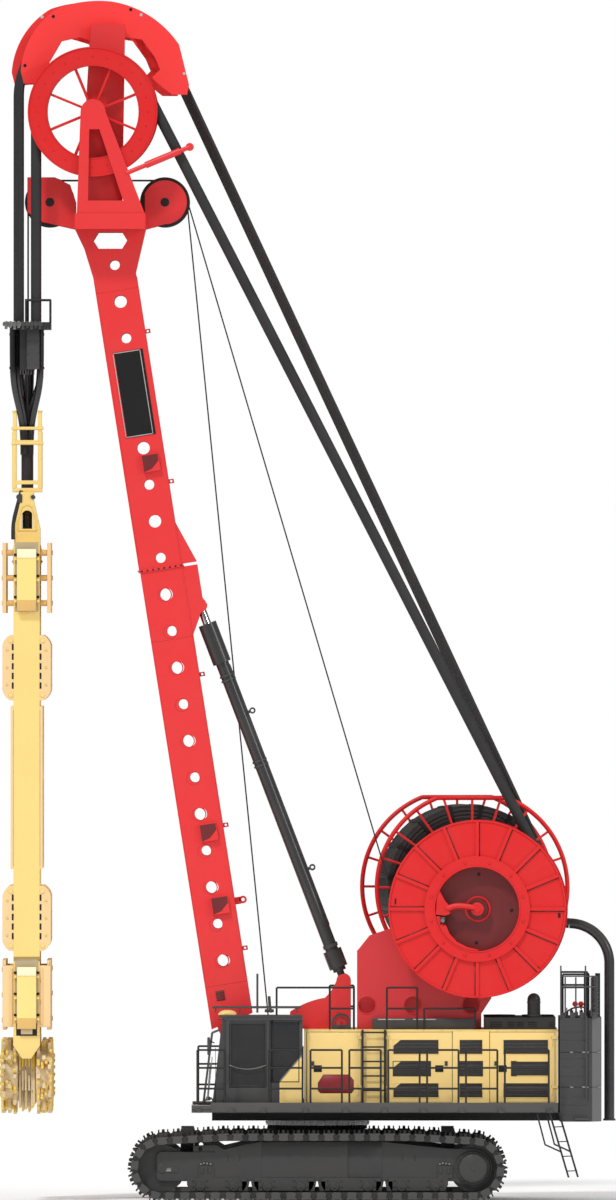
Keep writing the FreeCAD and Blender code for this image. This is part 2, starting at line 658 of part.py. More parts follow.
def house_shell():
    """Engine house: roof, walls and posts, open at the three doors of the near side."""
    outer = box((-d.house_front, -d.house_half, floor_top),
                (d.house_front + d.platform_rear, d.house_half * 2, d.house_height))
    inner = box((-d.house_front + d.wall, -d.house_half + d.wall, floor_top),
                (d.house_front + d.platform_rear - d.wall * 2, (d.house_half - d.wall) * 2,
                 d.house_height - d.wall))
    bays = []
    for start, end, _ in door_bays.values():
        bays.append(box((start, -d.house_half, door_low), (end - start, d.wall, door_height)))
    shell = cut(outer, [inner] + bays)
    panel_x = d.bay_two_end + d.vent_side
    panel_width = d.bay_three_start - d.bay_two_end - d.vent_side * 2
    shell = louvred(shell, panel_x, panel_width, -d.house_half, d.wall / 2)
    parts = [shell]
    for start, end, hinge in door_bays.values():
        hinge_x = end - d.hinge_inset if hinge > 0 else start + d.hinge_inset
        low_x = hinge_x if hinge > 0 else start - d.hinge_inset
        for z in hinge_levels():
            z = z + d.hinge_length + d.run_gap
            parts.append(rod((hinge_x, -d.house_half, z), Z_AXIS, d.hinge_radius, d.knuckle))
            parts.append(box((low_x, -d.house_half - d.hinge_radius, z),
                             (d.hinge_inset * 2, d.hinge_radius - d.leaf_gap, d.knuckle)))
            foot_x = end if hinge > 0 else start - d.hinge_inset
            parts.append(box((foot_x, -d.house_half - d.hinge_radius, z),
                             (d.hinge_inset, d.hinge_radius, d.knuckle)))
    return finish(fuse(parts), "house_shell")


def house_door(label):
    """Hinged panel of the engine house, flush in its bay, with hinge barrels and a latch."""
    start, end, hinge = door_bays[label]
    panel = box((start + d.door_gap, -d.house_half, door_low + d.door_gap),
                (end - start - d.door_gap * 2, d.door_thick, door_height - d.door_gap * 2))
    vent_room = {"house_door_middle": (d.vent_side, d.vent_latch_side, (0, d.vent_short)),
                 "house_door_rear": (d.vent_latch_side, d.vent_side, (d.vent_short, 0))}
    if label in vent_room:
        left, right, short = vent_room[label]
        panel = louvred(panel, start + left, end - start - left - right, -d.house_half,
                        d.door_thick / 2, short)
    hinge_x = end - d.hinge_inset if hinge > 0 else start + d.hinge_inset
    latch_x = start + d.latch_inset if hinge > 0 else end - d.latch_inset
    relief = [rod((hinge_x, -d.house_half, z + d.hinge_length), Z_AXIS,
                  d.hinge_radius + d.leaf_gap, d.knuckle + d.leaf_gap) for z in hinge_levels()]
    parts = [cut(panel, relief)]
    for z in hinge_levels():
        parts.append(rod((hinge_x, -d.house_half, z), Z_AXIS, d.hinge_radius, d.hinge_length))
    parts.append(box((latch_x - d.latch_size / 2, -d.house_half - d.latch_proud,
                      door_low + door_height * 0.52), (d.latch_size, d.latch_proud, d.latch_size * 1.6)))
    return finish(fuse(parts), label)


def engine_block():
    """The engine and its pumps as one heavy block on the platform."""
    return finish(box((d.engine_front, -d.engine_width / 2, floor_top),
                      (d.engine_length, d.engine_width, d.engine_height)), "engine_block")


cab_base = platform_top + d.cab_lift
cab_top = cab_base + d.cab_height


def cab_face(z, inset):
    """Front of the leaning windscreen at a height."""
    return -d.cab_front - d.cab_nose + (z - cab_base) * d.cab_nose / d.cab_height + inset


def cab_section(inset):
    """Side outline of the cab, drawn in by a wall's thickness."""
    low, high = cab_base + inset, cab_top - inset
    return [(cab_face(low, inset), low), (-d.cab_rear - inset, low), (-d.cab_rear - inset, high),
            (cab_face(high, inset), high)]


screen_low = cab_base + d.screen_sill
screen_high = cab_top - d.cab_roof
side_low = cab_base + d.cab_sill
door_open_x = -d.cab_front + d.cab_post * 1.6
rear_pane_x = door_open_x + d.cab_door_width + d.cab_post
rear_pane_width = -d.cab_rear - d.cab_post - rear_pane_x
cab_width = d.cab_outer - d.cab_inner


def cab_shell():
    """Cab body with its door way, windows, door rails, roof bar and rubber feet."""
    body = plate("XZ", cab_section(0), -d.cab_outer, cab_width, name="cab")
    room = plate("XZ", cab_section(d.cab_wall), -d.cab_outer + d.cab_wall,
                 cab_width - d.cab_wall * 2, name="room")
    pane_inner = [(cab_face(screen_low, -d.cab_wall), screen_low),
                  (cab_face(screen_low, d.cab_wall * 2), screen_low),
                  (cab_face(screen_high, d.cab_wall * 2), screen_high),
                  (cab_face(screen_high, -d.cab_wall), screen_high)]
    screen = plate("XZ", pane_inner, -d.cab_outer + d.cab_post, cab_width - d.cab_post * 2)
    door_way = box((door_open_x, -d.cab_outer, cab_base + d.cab_wall),
                   (d.cab_door_width, d.cab_wall, screen_high - cab_base - d.cab_wall))
    rear_pane = box((rear_pane_x, -d.cab_outer, side_low),
                    (rear_pane_width, d.cab_wall, screen_high - side_low))
    far_pane = box((door_open_x, -d.cab_inner - d.cab_wall, side_low),
                   (d.cab_door_width + d.cab_post + rear_pane_width, d.cab_wall,
                    screen_high - side_low))
    shell = cut(body, [room, screen, door_way, rear_pane, far_pane])
    rail_span = -d.cab_rear - door_open_x + d.cab_post
    rails = []
    for z in (cab_base, cab_door_low + cab_door_height + d.run_gap):
        rails.append(box((door_open_x - d.cab_post, -d.cab_outer - d.door_proud, z),
                         (rail_span, d.door_proud, d.cab_post / 2)))
    roof = box((-d.cab_front - d.cab_post, -d.cab_outer, cab_top),
               (d.cab_front - d.cab_rear + d.cab_post, cab_width, d.cab_wall))
    feet = []
    for x in (-d.cab_front + d.cab_post * 3, -d.cab_rear - d.cab_post * 3):
        for y in (-d.platform_half + d.cab_post * 2, -d.cab_inner - d.cab_post * 2):
            feet.append(rod((x, y, platform_top), Z_AXIS, d.cab_post, d.cab_lift))
    return finish(fuse([shell, roof] + rails + feet), "cab_shell")


cab_door_low = cab_base + d.cab_post / 2 + d.run_gap
cab_door_height = screen_high - cab_base
cab_door_y = -d.cab_outer - d.door_proud + d.door_gap
cab_door_leaf = d.door_proud - d.door_gap * 2


def cab_door():
    """Sliding door leaf with its window cut and a grab handle."""
    x = door_open_x - d.cab_post / 2
    width = d.cab_door_width + d.cab_post
    leaf = box((x, cab_door_y, cab_door_low), (width, cab_door_leaf, cab_door_height))
    window = box((x + d.cab_post, cab_door_y, cab_door_low + d.door_sill),
                 (width - d.cab_post * 2, cab_door_leaf,
                  cab_door_height - d.door_sill - d.cab_post))
    handle = rod((x + d.cab_post / 2, cab_door_y - d.latch_proud / 2, cab_door_low + d.cab_sill),
                 Z_AXIS, d.rail_tube * 0.7, d.cab_sill)
    handle_feet = [box((x + d.cab_post / 2 - d.rail_tube / 2, cab_door_y - d.latch_proud / 2, z),
                       (d.rail_tube, d.latch_proud / 2, d.rail_tube))
                   for z in (cab_door_low + d.cab_sill, cab_door_low + d.cab_sill * 1.9)]
    return finish(fuse([cut(leaf, [window]), handle] + handle_feet), "cab_door")


def cab_door_glass():
    """Pane of the sliding door."""
    x = door_open_x + d.cab_post / 2
    return finish(box((x, cab_door_y + cab_door_leaf / 2, cab_door_low + d.door_sill),
                      (d.cab_door_width - d.cab_post, d.glass,
                       cab_door_height - d.door_sill - d.cab_post)), "cab_door_glass")


def cab_glass():
    """Windscreen and the two side panes."""
    front = plate("XZ", [(cab_face(screen_low, d.glass), screen_low),
                         (cab_face(screen_low, d.glass * 2), screen_low),
                         (cab_face(screen_high, d.glass * 2), screen_high),
                         (cab_face(screen_high, d.glass), screen_high)],
                  -d.cab_outer + d.cab_post, cab_width - d.cab_post * 2, name="screen")
    near = box((rear_pane_x, -d.cab_outer + d.glass, side_low),
               (rear_pane_width, d.glass, screen_high - side_low))
    far = box((door_open_x, -d.cab_inner - d.glass * 2, side_low),
              (d.cab_door_width + d.cab_post + rear_pane_width, d.glass, screen_high - side_low))
    return finish(group([front, near, far]), "cab_glass")


def cab_seat():
    """Operator's seat with arm consoles on its pedestal."""
    x, y, z = -d.cab_rear - d.seat_back, -d.cab_outer + cab_width / 2, cab_base + d.cab_wall
    half = d.seat_width / 2
    parts = [box((x - half, y - half * 0.6, z), (half * 1.4, half * 1.2, d.seat_height)),
             box((x - d.seat_width, y - half, z + d.seat_height), (d.seat_width * 1.1, half * 2, d.seat_pad)),
             box((x - d.seat_pad * 0.2, y - half, z + d.seat_height + d.seat_pad),
                 (d.seat_pad, half * 2, d.seat_width * 1.3))]
    for side in (-1, 1):
        arm_y = y + side * (half + d.seat_pad / 2) - d.seat_pad / 2
        parts.append(box((x - d.seat_width * 1.1, arm_y, z + d.seat_height),
                         (d.seat_width, d.seat_pad, d.seat_pad * 1.6)))
        parts.append(rod((x - d.seat_width, arm_y + d.seat_pad / 2, z + d.seat_height + d.seat_pad * 1.6),
                         Z_AXIS, d.rail_tube, d.seat_pad))
    return finish(fuse(parts), "cab_seat")


def fuel_tank():
    """Tank and tool box beside the mast foot, on the side away from the cab."""
    return finish(box((-d.cab_front, d.cab_inner, platform_top),
                      (d.cab_front - d.cab_rear, d.platform_half - d.cab_inner, d.tank_height)),
                  "fuel_tank")


def counterweight():
    """Stack of cast slabs with chamfered rear corners."""
    def slab(z, height, inset):
        rear = d.tower_front + d.tower_depth + d.tower_chamfer - inset
        side = d.tower_half - inset
        corner_x, corner_y = rear - d.tower_chamfer, side - d.tower_chamfer * 1.4
        outline = [(d.tower_front, -side), (corner_x, -side), (rear, -corner_y),
                   (rear, corner_y), (corner_x, side), (d.tower_front, side)]
        return plate("XY", outline, z, height, name="slab")

    parts = []
    for level in range(3):
        z = d.tower_low + level * (d.tower_slab + d.slab_seam)
        parts.append(slab(z, d.tower_slab, 0))
        if level < 2:
            parts.append(slab(z + d.tower_slab, d.slab_seam, d.slab_seam))
    return finish(fuse(parts), "counterweight")


tower_top = d.tower_low + d.tower_slab * 3 + d.slab_seam * 2


def rail_panel(start, end, across, base, heights, along="x"):
    """Rail panel of two posts and level bars."""
    def at(run, z):
        return (run, across, z) if along == "x" else (across, run, z)

    axis = X_AXIS if along == "x" else Y_AXIS
    parts = [rod(at(run, base), Z_AXIS, d.rail_tube, max(heights, key=number)) for run in (start, end)]
    for level in heights:
        parts.append(rod(at(start, base + level), axis, d.rail_tube, end - start))
    return fuse(parts)


def handrails():
    """Rail panels along both walkways, on the roof and round the counterweight."""
    parts = []
    heights = (d.rail_height, d.rail_mid, d.rail_low)
    for side in (-1, 1):
        y = side * (d.walk_outer - d.walk_plate / 2 - d.rail_tube)
        for index in range(5):
            start = d.rail_first + d.rail_pitch * index
            parts.append(rail_panel(start, start + d.rail_width, y, floor_top, heights))
        start = d.rail_first + d.rail_pitch * 5
        parts.append(rail_panel(start, start + d.rail_width * 1.4, y, floor_top, heights))
        for start, width in ((-d.cab_rear - d.rail_width * 1.07, d.rail_width * 1.07),
                             (-d.walk_front + d.walk_plate * 3, d.rail_width * 0.87)):
            parts.append(rail_panel(start, start + width, y, floor_top, heights))
    roof = (d.roof_rail_height, d.roof_rail_height / 2)
    for side in (-1, 1):
        y = side * (d.house_half - d.rail_tube * 3)
        parts.append(rail_panel(d.roof_rail_post, d.roof_rail_rear, y, roof_top, roof))
        parts.append(rail_panel(d.low_rail_start, d.low_rail_end, y, roof_top, roof[1:]))
    y = -d.house_half + d.rail_tube * 3
    top = roof_top + d.roof_rail_height
    cab_roof = cab_top + d.cab_wall
    parts.append(fuse([rod((-d.roof_rail_front, y, cab_roof), Z_AXIS, d.rail_tube, top - cab_roof),
                       rod((-d.roof_rail_front, y, top), X_AXIS, d.rail_tube,
                           d.roof_rail_front + d.roof_rail_post - d.rail_tube - d.run_gap)]))
    parts.append(rail_panel(d.ladder_end + d.rail_tube, d.ladder_end + d.rail_width, y, roof_top, roof))
    cage = (d.cage_height, d.cage_height * 0.7)
    side = d.tower_half - d.rail_tube * 3
    rear = d.tower_front + d.tower_depth - d.rail_tube * 3
    for end in (-1, 1):
        parts.append(rail_panel(d.tower_front + d.rail_tube * 3, rear, end * side, tower_top, cage))
    parts.append(rail_panel(-side * 0.97, side * 0.97, rear + d.rail_tube * 2 + d.run_gap, tower_top,
                            cage, "y"))
    parts.append(rod((rear + d.tower_chamfer, 0, tower_top), Z_AXIS, d.rail_tube * 2.5, d.cage_height))
    return finish(group(parts), "handrails")


def side_ladder():
    """Ladder up the house side from the walkway to the roof."""
    y = -d.house_half - d.ladder_stand
    parts = []
    depth = d.ladder_stand - d.hinge_radius - d.slat
    for x in (d.ladder_end - d.ladder_width, d.ladder_end - d.rail_tube * 2):
        parts.append(box((x, y, floor_top), (d.rail_tube * 2, depth, d.house_height)))
        for z in (floor_top + d.walk_plate, roof_top - d.walk_plate * 2):
            parts.append(box((x, y, z), (d.rail_tube * 2, d.ladder_stand, d.walk_plate)))
    count = int(number(d.house_height) // number(d.rung_pitch))
    for index in range(1, count + 1):
        parts.append(rod((d.ladder_end - d.ladder_width, y + d.rail_tube,
                          floor_top + d.rung_pitch * index), X_AXIS, d.rail_tube * 0.8, d.ladder_width))
    return fuse(parts)


def rear_ladder():
    """Leaning ladder that hangs from the walkway at the rear corner, with a grip bar on each side."""
    lean, tube_size = d.rear_ladder_run, d.rail_tube
    drop = platform_top - d.rear_ladder_low
    depth = tube_size * 1.2
    parts = []
    for skew, y in ((0.0, -d.walk_outer), (d.rear_ladder_skew, -d.walk_outer + d.rear_ladder_width)):
        top_x = d.rear_ladder_x + skew
        outline = [(top_x, platform_top), (top_x + lean, d.rear_ladder_low),
                   (top_x + lean + tube_size * 2, d.rear_ladder_low),
                   (top_x + tube_size * 2, platform_top)]
        parts.append(plate("XZ", outline, y, depth, name="stringer"))
        middle = y + depth / 2
        share = (platform_top - d.grip_end) / drop
        parts += tube([(top_x - d.grip_reach, middle, platform_top - tube_size),
                       (top_x - d.grip_reach * 0.3, middle, d.grip_knee),
                       (top_x + lean * share + tube_size, middle, d.grip_end)], tube_size * 0.8, "grip")
    for index in range(1, 5):
        share = index / 4.4
        start = d.rear_ladder_x + lean * share
        y, z = -d.walk_outer, platform_top - drop * share
        step = [(start, y), (start + tube_size * 2, y),
                (start + tube_size * 2 + d.rear_ladder_skew, y + d.rear_ladder_width + depth),
                (start + d.rear_ladder_skew, y + d.rear_ladder_width + depth)]
        parts.append(plate("XY", step, z, tube_size, name="step"))
    return fuse(parts)


def ladders():
    return finish(group([side_ladder(), rear_ladder()]), "ladders")


def roof_unit():
    """Cooler housing and exhaust stack on the roof."""
    housing = box((d.cooler_front, -d.cooler_half, roof_top),
                  (d.cooler_rear - d.cooler_front, d.cooler_half - d.cooler_inner, d.cooler_height))
    stack = rod((d.exhaust_place, -d.cooler_half * 0.85, roof_top + d.cooler_height), Z_AXIS,
                d.exhaust_radius, d.exhaust_height - d.exhaust_radius)
    dome = doc.addObject("Part::Sphere", "exhaust_dome")
    bind(dome, "Radius", d.exhaust_radius)
    put(dome, (d.exhaust_place, -d.cooler_half * 0.85,
               roof_top + d.cooler_height + d.exhaust_height - d.exhaust_radius))
    return finish(fuse([housing, stack, dome]), "roof_unit")


def pivot_brackets():
    """Brackets on the platform for the mast foot and on the roof for the luffing cylinders."""
    parts = []
    foot_low = (-d.foot_x - d.foot_eye * 1.9, platform_top)
    outline = [foot_low, (-d.foot_x + d.foot_eye * 2.2, platform_top),
               (-d.foot_x + d.foot_eye, d.foot_z),
               (-d.foot_x, d.foot_z + d.foot_eye, d.foot_eye),
               (-d.foot_x - d.foot_eye, d.foot_z, d.foot_eye)]
    inner_face = d.mast_half - d.foot_lug - d.lug_gap
    for side in (-1, 1):
        sides = []
        for offset in (inner_face - d.bracket_plate, d.mast_half + d.lug_gap):
            start = offset if side > 0 else -offset - d.bracket_plate
            sides.append(plate("XZ", outline, start, d.bracket_plate, name="foot_bracket"))
        reach = d.foot_lug + (d.lug_gap + d.bracket_plate) * 2
        start = inner_face - d.bracket_plate
        start = start if side > 0 else -start - reach
        sides.append(rod((-d.foot_x, start, d.foot_z), Y_AXIS, d.foot_pin, reach))
        parts.append(fuse(sides))
    eye = d.luff_eye
    front = [(-d.house_front - d.fairing_reach, roof_top), (d.luff_base_x + eye, roof_top),
             (d.luff_base_x + eye, d.luff_base_z),
             (d.luff_base_x, d.luff_base_z + eye, eye),
             (d.luff_base_x - eye, d.luff_base_z, eye),
             (d.luff_base_x - eye * 2.6, d.luff_base_z - eye * 2.4, -d.fairing_curve),
             (-d.house_front - d.fairing_reach, roof_top + d.fairing_step, d.fairing_curve * 2)]
    inner_face = d.luff_spread / 2 - d.luff_eye_width / 2 - d.lug_gap
    outer_face = d.luff_spread / 2 + d.luff_eye_width / 2 + d.lug_gap
    for side in (-1, 1):
        sides = []
        for offset in (inner_face - d.bracket_plate, outer_face):
            start = offset if side > 0 else -offset - d.bracket_plate
            sides.append(plate("XZ", front, start, d.bracket_plate, name="luff_bracket"))
        start = inner_face - d.bracket_plate
        reach = outer_face - inner_face + d.bracket_plate * 2
        start = start if side > 0 else -start - reach
        sides.append(rod((d.luff_base_x, start, d.luff_base_z), Y_AXIS, d.luff_pin, reach))
        parts.append(fuse(sides))
    return finish(group(parts), "pivot_brackets")


def winch(x, y, z, label_width, base):
    """Winch: grooved drum between two cheek plates, standing on a base height."""
    half = label_width / 2
    parts = [rod((x, y - half, z), Y_AXIS, d.winch_core, label_width)]
    for side in (-1, 1):
        start = y + side * half - d.bracket_plate / 2
        parts.append(rod((x, start, z), Y_AXIS, d.winch_flange, d.bracket_plate))
        parts.append(box((x - d.winch_flange * 0.8, start, base),
                         (d.winch_flange * 1.6, d.bracket_plate, z - base)))
    return fuse(parts)


def winches():
    """Front winch on the platform and main winch on the roof between the hose drums."""
    front = winch(-d.front_winch_x, 0, d.front_winch_z, d.winch_width, platform_top)
    main = winch(d.main_winch_x, d.main_winch_y, d.main_winch_z, d.winch_width * 0.9, roof_top)
    return finish(group([front, main]), "winches")


def upper_carriage():
    platform()
    finish(group([walkway(-1), walkway(1)]), "walkways")
    house_shell()
    for label in door_bays:
        house_door(label)
    engine_block()
    cab_shell()
    cab_door()
    cab_door_glass()
    cab_glass()
    cab_seat()
    fuel_tank()
    counterweight()
    handrails()
    ladders()
    roof_unit()
    pivot_brackets()
    winches()


# ---------------------------------------------------------------- geometry shared by drums and guides
def towards(angle):
    """Turn about the vertical for a toed axle."""
    return FreeCAD.Rotation(Z_AXIS, angle)


def toed(centre, angle, local):
    """World point of a local point in a frame turned about the vertical."""
    c, s = math.cos(math.radians(angle)), math.sin(math.radians(angle))
    x, y, z = local
    return (centre[0] + x * c - y * s, centre[1] + x * s + y * c, centre[2] + z)


def spoke(angle, inner, outer, y, width, depth):
    """Flat bar pointing out from the Y axis at an angle above +X."""
    c, s = math.cos(math.radians(angle)), math.sin(math.radians(angle))
    bar = doc.addObject("Part::Box", unique("spoke"))
    for cell, amount in (("Length", outer - inner), ("Width", width), ("Height", depth)):
        setattr(bar, cell, number(amount))
        bind(bar, cell, amount)
    base = (inner * c + depth * (s / 2), y - width / 2, inner * s - depth * (c / 2))
    return put(bar, base, FreeCAD.Rotation(Y_AXIS, -angle))


def round_spoke(angle, inner, outer, y, radius):
    """Round bar pointing out from the Y axis at an angle above +X."""
    c, s = math.cos(math.radians(angle)), math.sin(math.radians(angle))
    return rod((inner * c, y, inner * s), FreeCAD.Vector(c, 0, s), radius, outer - inner)


def bend(start, sweep, path, radius, y=0, centre=(0, 0, 0), turn=None, name="bend"):
    """Round bar bent about an axle along Y, from an angle above +X over a sweep."""
    c, s = math.cos(math.radians(start)), math.sin(math.radians(start))
    rotation = FreeCAD.Rotation(FreeCAD.Vector(c, 0, s), FreeCAD.Vector(-s, 0, c),
                                FreeCAD.Vector(0, -1, 0), "ZXY")
    thing = doc.addObject("Part::Torus", unique(name))
    for cell, amount in (("Radius1", path), ("Radius2", radius)):
        setattr(thing, cell, number(amount))
        bind(thing, cell, amount)
    thing.Angle3 = sweep
    angle = 0.0
    if turn is not None:
        angle, rotation = turn, towards(turn).multiply(rotation)
    return put(thing, toed(centre, angle, (0, y, 0)), rotation)


def line(start, end, radius, name="run"):
    """Straight round bar between two points."""
    a, b = [FreeCAD.Vector(*[number(c) for c in p]) for p in (start, end)]
    return rod(start, (b - a).normalize(), radius, (b - a).Length, name)


def leaving_angle(first, first_radius, second, second_radius):
    """Angle above +X at which a line leaves the upper right of one circle for another."""
    dx, dz = number(second[0] - first[0]), number(second[1] - first[1])
    span = math.hypot(dx, dz)
    lean = (number(second_radius) - number(first_radius)) / span
    return math.degrees(math.atan2(dz, dx)) + 90.0 - math.degrees(math.asin(lean))


# ---------------------------------------------------------------- hose drums on the upper carriage
mud_drum_at = (d.mud_drum_x, -d.mud_drum_y, d.mud_drum_z)
hose_drum_at = (d.hose_drum_x, d.hose_drum_y, d.hose_drum_z)
mud_turn = -number(d.mud_toe)
hose_turn = number(d.hose_toe)
hose_radius = d.hose_size / 2
rope_radius = d.hoist_rope / 2


def stand_outline(hub, left, right, shoulder):
    """Side outline of a drum stand from the roof up and over its hub."""
    x, z = hub
    r = d.stand_hub
    return [(left, roof_top), (d.stand_foot, roof_top), (d.stand_foot, roof_top + d.stand_step / 2),
            (right, roof_top + d.stand_step), (x + r, z),
            (x, z + r, r), (x - r, z, r)] + shoulder + [(left, roof_top + d.stand_height)]


def drum_stands():
    """Three stand plates on roof beams, with the fixed axles of both drums."""
    c, s = math.cos(math.radians(hose_turn)), math.sin(math.radians(hose_turn))
    near_hub = (mud_drum_at[0], mud_drum_at[2])
    step = d.stand_height / 5
    near = plate("XZ", stand_outline(near_hub, d.stand_left, d.stand_right,
                                     [(d.stand_left + step * 2, roof_top + d.stand_height + step * 1.4),
                                      (d.stand_left + step * 0.8, roof_top + d.stand_height + step)]),
                 -d.stand_near - d.stand_plate, d.stand_plate,
                 circles=[((d.stand_left + d.stand_hole_place * k, roof_top + d.stand_step * 0.78),
                           d.stand_hole) for k in (0.2, 1.16, 2.37)], name="stand")
    parts = [near]
    inner_local = -(d.hose_drum_y + d.stand_inner + d.stand_plate / 2) / c
    far_local = (d.stand_far + d.stand_plate / 2 - d.hose_drum_y) / c
    for local, left, start in ((inner_local, d.stand_left, -d.stand_inner - d.stand_plate),
                               (far_local, d.stand_left * 2, d.stand_far)):
        hub = (d.hose_drum_x - local * s, d.hose_drum_z)
        parts.append(plate("XZ", stand_outline(hub, left, d.stand_right, []), start,
                           d.stand_plate, name="stand"))
    beam_y = -d.stand_near - d.stand_plate
    for x in (d.stand_left + step * 0.3, d.stand_right - step * 2):
        parts.append(box((x, beam_y, roof_top), (step * 0.7, d.stand_far - beam_y, d.stand_beam)))
    mud_out = d.mud_drum_y - d.stand_near - d.stand_plate / 2
    spindle = rod(toed(mud_drum_at, mud_turn, (0, -d.mud_drum_half - d.mud_plate * 2, 0)),
                  towards(mud_turn).multVec(Y_AXIS), d.mud_axle,
                  mud_out + d.mud_drum_half + d.mud_plate * 2)
    axle = rod(toed(hose_drum_at, hose_turn, (0, inner_local, 0)),
               towards(hose_turn).multVec(Y_AXIS), d.drum_axle, far_local - inner_local)
    return finish(fuse(parts + [spindle, axle]), "drum_stands")


def mud_drum():
    """Slurry hose drum: core, two ribbed flanges and the raised hub ring."""
    half, thick = d.mud_drum_half, d.mud_plate
    core = d.mud_core - d.run_gap
    parts = [rod((0, -half, 0), Y_AXIS, core, half * 2)]
    for side in (-1, 1):
        face = side * half - (thick if side < 0 else 0)
        parts.append(rod((0, face, 0), Y_AXIS, d.mud_flange, thick))
        rib_y = side * (half + thick + d.mud_rib_rise / 2)
        parts.extend(around(16, lambda a: spoke(a, d.mud_hub_outer - d.mud_rib, d.mud_flange - thick,
                                                rib_y, d.mud_rib_rise, d.mud_rib)))
        ring_y = side * (half + thick) - (d.mud_rib_rise * 1.6 if side < 0 else 0)
        parts.append(ring((0, ring_y, 0), Y_AXIS, d.mud_hub_outer, d.mud_hub_inner,
                          d.mud_rib_rise * 1.6))
    solid = fuse(parts)
    bore = rod((0, -half - thick * 6, 0), Y_AXIS, d.mud_axle + d.pin_gap, half * 2 + thick * 12)
    hub, recess = d.mud_axle + thick * 4, d.drum_recess
    pocket = ring((0, -half - thick, 0), Y_AXIS, d.mud_hub_inner, hub, recess + thick)
    hollow = ring((0, -half + recess + thick, 0), Y_AXIS, core - thick * 2, hub,
                  half * 2 - recess - thick * 2)
    return finish(cut(solid, [bore, pocket, hollow]), "mud_drum", mud_drum_at, towards(mud_turn))


def mud_winding():
    """Turns of the slurry hose that stay on the drum."""
    path = d.mud_core + d.mud_hose / 2
    turns = [bend(0.0, 360.0, path, d.mud_hose / 2, -d.mud_lay * k) for k in (0, 1)]
    return finish(group(turns), "mud_winding", mud_drum_at, towards(mud_turn))


def hose_drum():
    """Hydraulic hose drum: core, hubs and two spoked rings with a flat top."""
    bar = d.hose_ring_bar / 2
    path = d.hose_ring - bar
    flat = math.degrees(math.asin(number(d.flat_height) / number(path)))
    reach = path * math.cos(math.radians(flat))
    half = d.hose_drum_half
    parts = [rod((0, -d.winding_half, 0), Y_AXIS, d.hose_core, d.winding_half * 2),
             rod((0, -half - bar, 0), Y_AXIS, d.drum_hub, half * 2 + bar * 2)]
    for side in (-1, 1):
        y = side * half
        parts.append(bend(180.0 - flat, 180.0 + flat * 2, path, bar, y))
        parts.append(line((-reach, y, d.flat_height), (reach, y, d.flat_height), bar))
        for index in range(20):
            angle = 18.0 * index + 90.0
            tip = path if index else d.flat_height
            parts.append(round_spoke(angle, d.drum_hub * 0.9, tip, y, d.drum_spoke))
    bore = rod((0, -half * 2, 0), Y_AXIS, d.drum_axle + d.pin_gap, half * 4)
    hollow = ring((0, -d.winding_half + d.bracket_plate, 0), Y_AXIS, d.hose_core - d.bracket_plate,
                  d.drum_hub, (d.winding_half - d.bracket_plate) * 2)
    return finish(cut(fuse(parts), [bore, hollow]), "hose_drum", hose_drum_at, towards(hose_turn))


def hose_winding():
    """Hydraulic hoses wound on their drum, as one closed coil."""
    outer = d.hose_winding - hose_radius - d.run_gap
    coil = ring((0, -d.winding_half, 0), Y_AXIS, outer, d.hose_core + d.run_gap, d.winding_half * 2)
    return finish(coil, "hose_winding", hose_drum_at, towards(hose_turn))


def slurry_pipe():
    """Steel slurry pipe from the drum's swivel over the rear and down to its flange."""
    y = -d.pipe_y
    radius = d.pipe_radius
    start = (d.mud_drum_x, y, d.mud_drum_z)
    elbow = d.pipe_x - d.pipe_bend_x
    bent = (d.pipe_bend_x, y, d.pipe_bend_z)
    parts = tube([(d.mud_drum_x, -d.stand_near, d.mud_drum_z), start, bent], radius, "pipe")
    parts.append(bend(0.0, 90.0, elbow, radius, y, (d.pipe_bend_x, 0, d.pipe_bend_z - elbow)))
    parts.append(rod((d.pipe_x, y, d.pipe_low), Z_AXIS, radius, d.pipe_bend_z - elbow - d.pipe_low))
    parts.append(rod((d.pipe_x, y, d.pipe_low), Z_AXIS, d.pipe_flange, d.walk_plate))
    cuts = [rod((d.pipe_x, y, d.pipe_low), Z_AXIS, d.pipe_bore, d.pipe_radius * 3)]
    for index in range(8):
        x, z = polar(1.0, 45.0 * index + 22.5)
        cuts.append(rod((d.pipe_x + d.bolt_circle * x, y + d.bolt_circle * z, d.pipe_low), Z_AXIS,
                        d.bolt_hole, d.walk_plate))
    return finish(cut(fuse(parts), cuts), "slurry_pipe")


# ---------------------------------------------------------------- mast
lean = number(d.mast_lean)
lean_cos, lean_sin = math.cos(math.radians(lean)), math.sin(math.radians(lean))
foot_at = (-d.foot_x, 0, d.foot_z)
mast_turn = FreeCAD.Rotation(Y_AXIS, -lean)


def to_mast(x, z):
    """Point beside the leaning mast, as distances across and along it from the foot pin."""
    dx, dz = x + d.foot_x, z - d.foot_z
    return dx * lean_cos + dz * lean_sin, dz * lean_cos - dx * lean_sin


def lightening(first, last):
    """Round holes along the mast, large and small in turn."""
    holes = []
    for index in range(first, last):
        if index not in (15, 16):
            radius = d.lightening_radius if index % 2 == 0 else d.lightening_radius * 0.8
            holes.append(((d.hole_line, d.lightening_first + d.lightening_pitch * index), radius))
    return holes


def mast_section(outer, inner, circles=(), holes=()):
    """Hollow mast section: outline with its side holes, less the room inside."""
    half = d.mast_half
    shell = plate("XZ", outer, -half, half * 2, holes=holes, circles=circles, name="section")
    room = plate("XZ", inner, -half + d.mast_plate, (half - d.mast_plate) * 2, name="room")
    return cut(shell, [room])


def side_boxes(place):
    """Welded box on each side plate of the mast, for its rigging."""
    size, depth = d.box_size, d.box_depth
    return [box((d.box_line - size / 2, start, place - size / 2), (size, depth, size))
            for start in (-d.mast_half - depth, d.mast_half)]


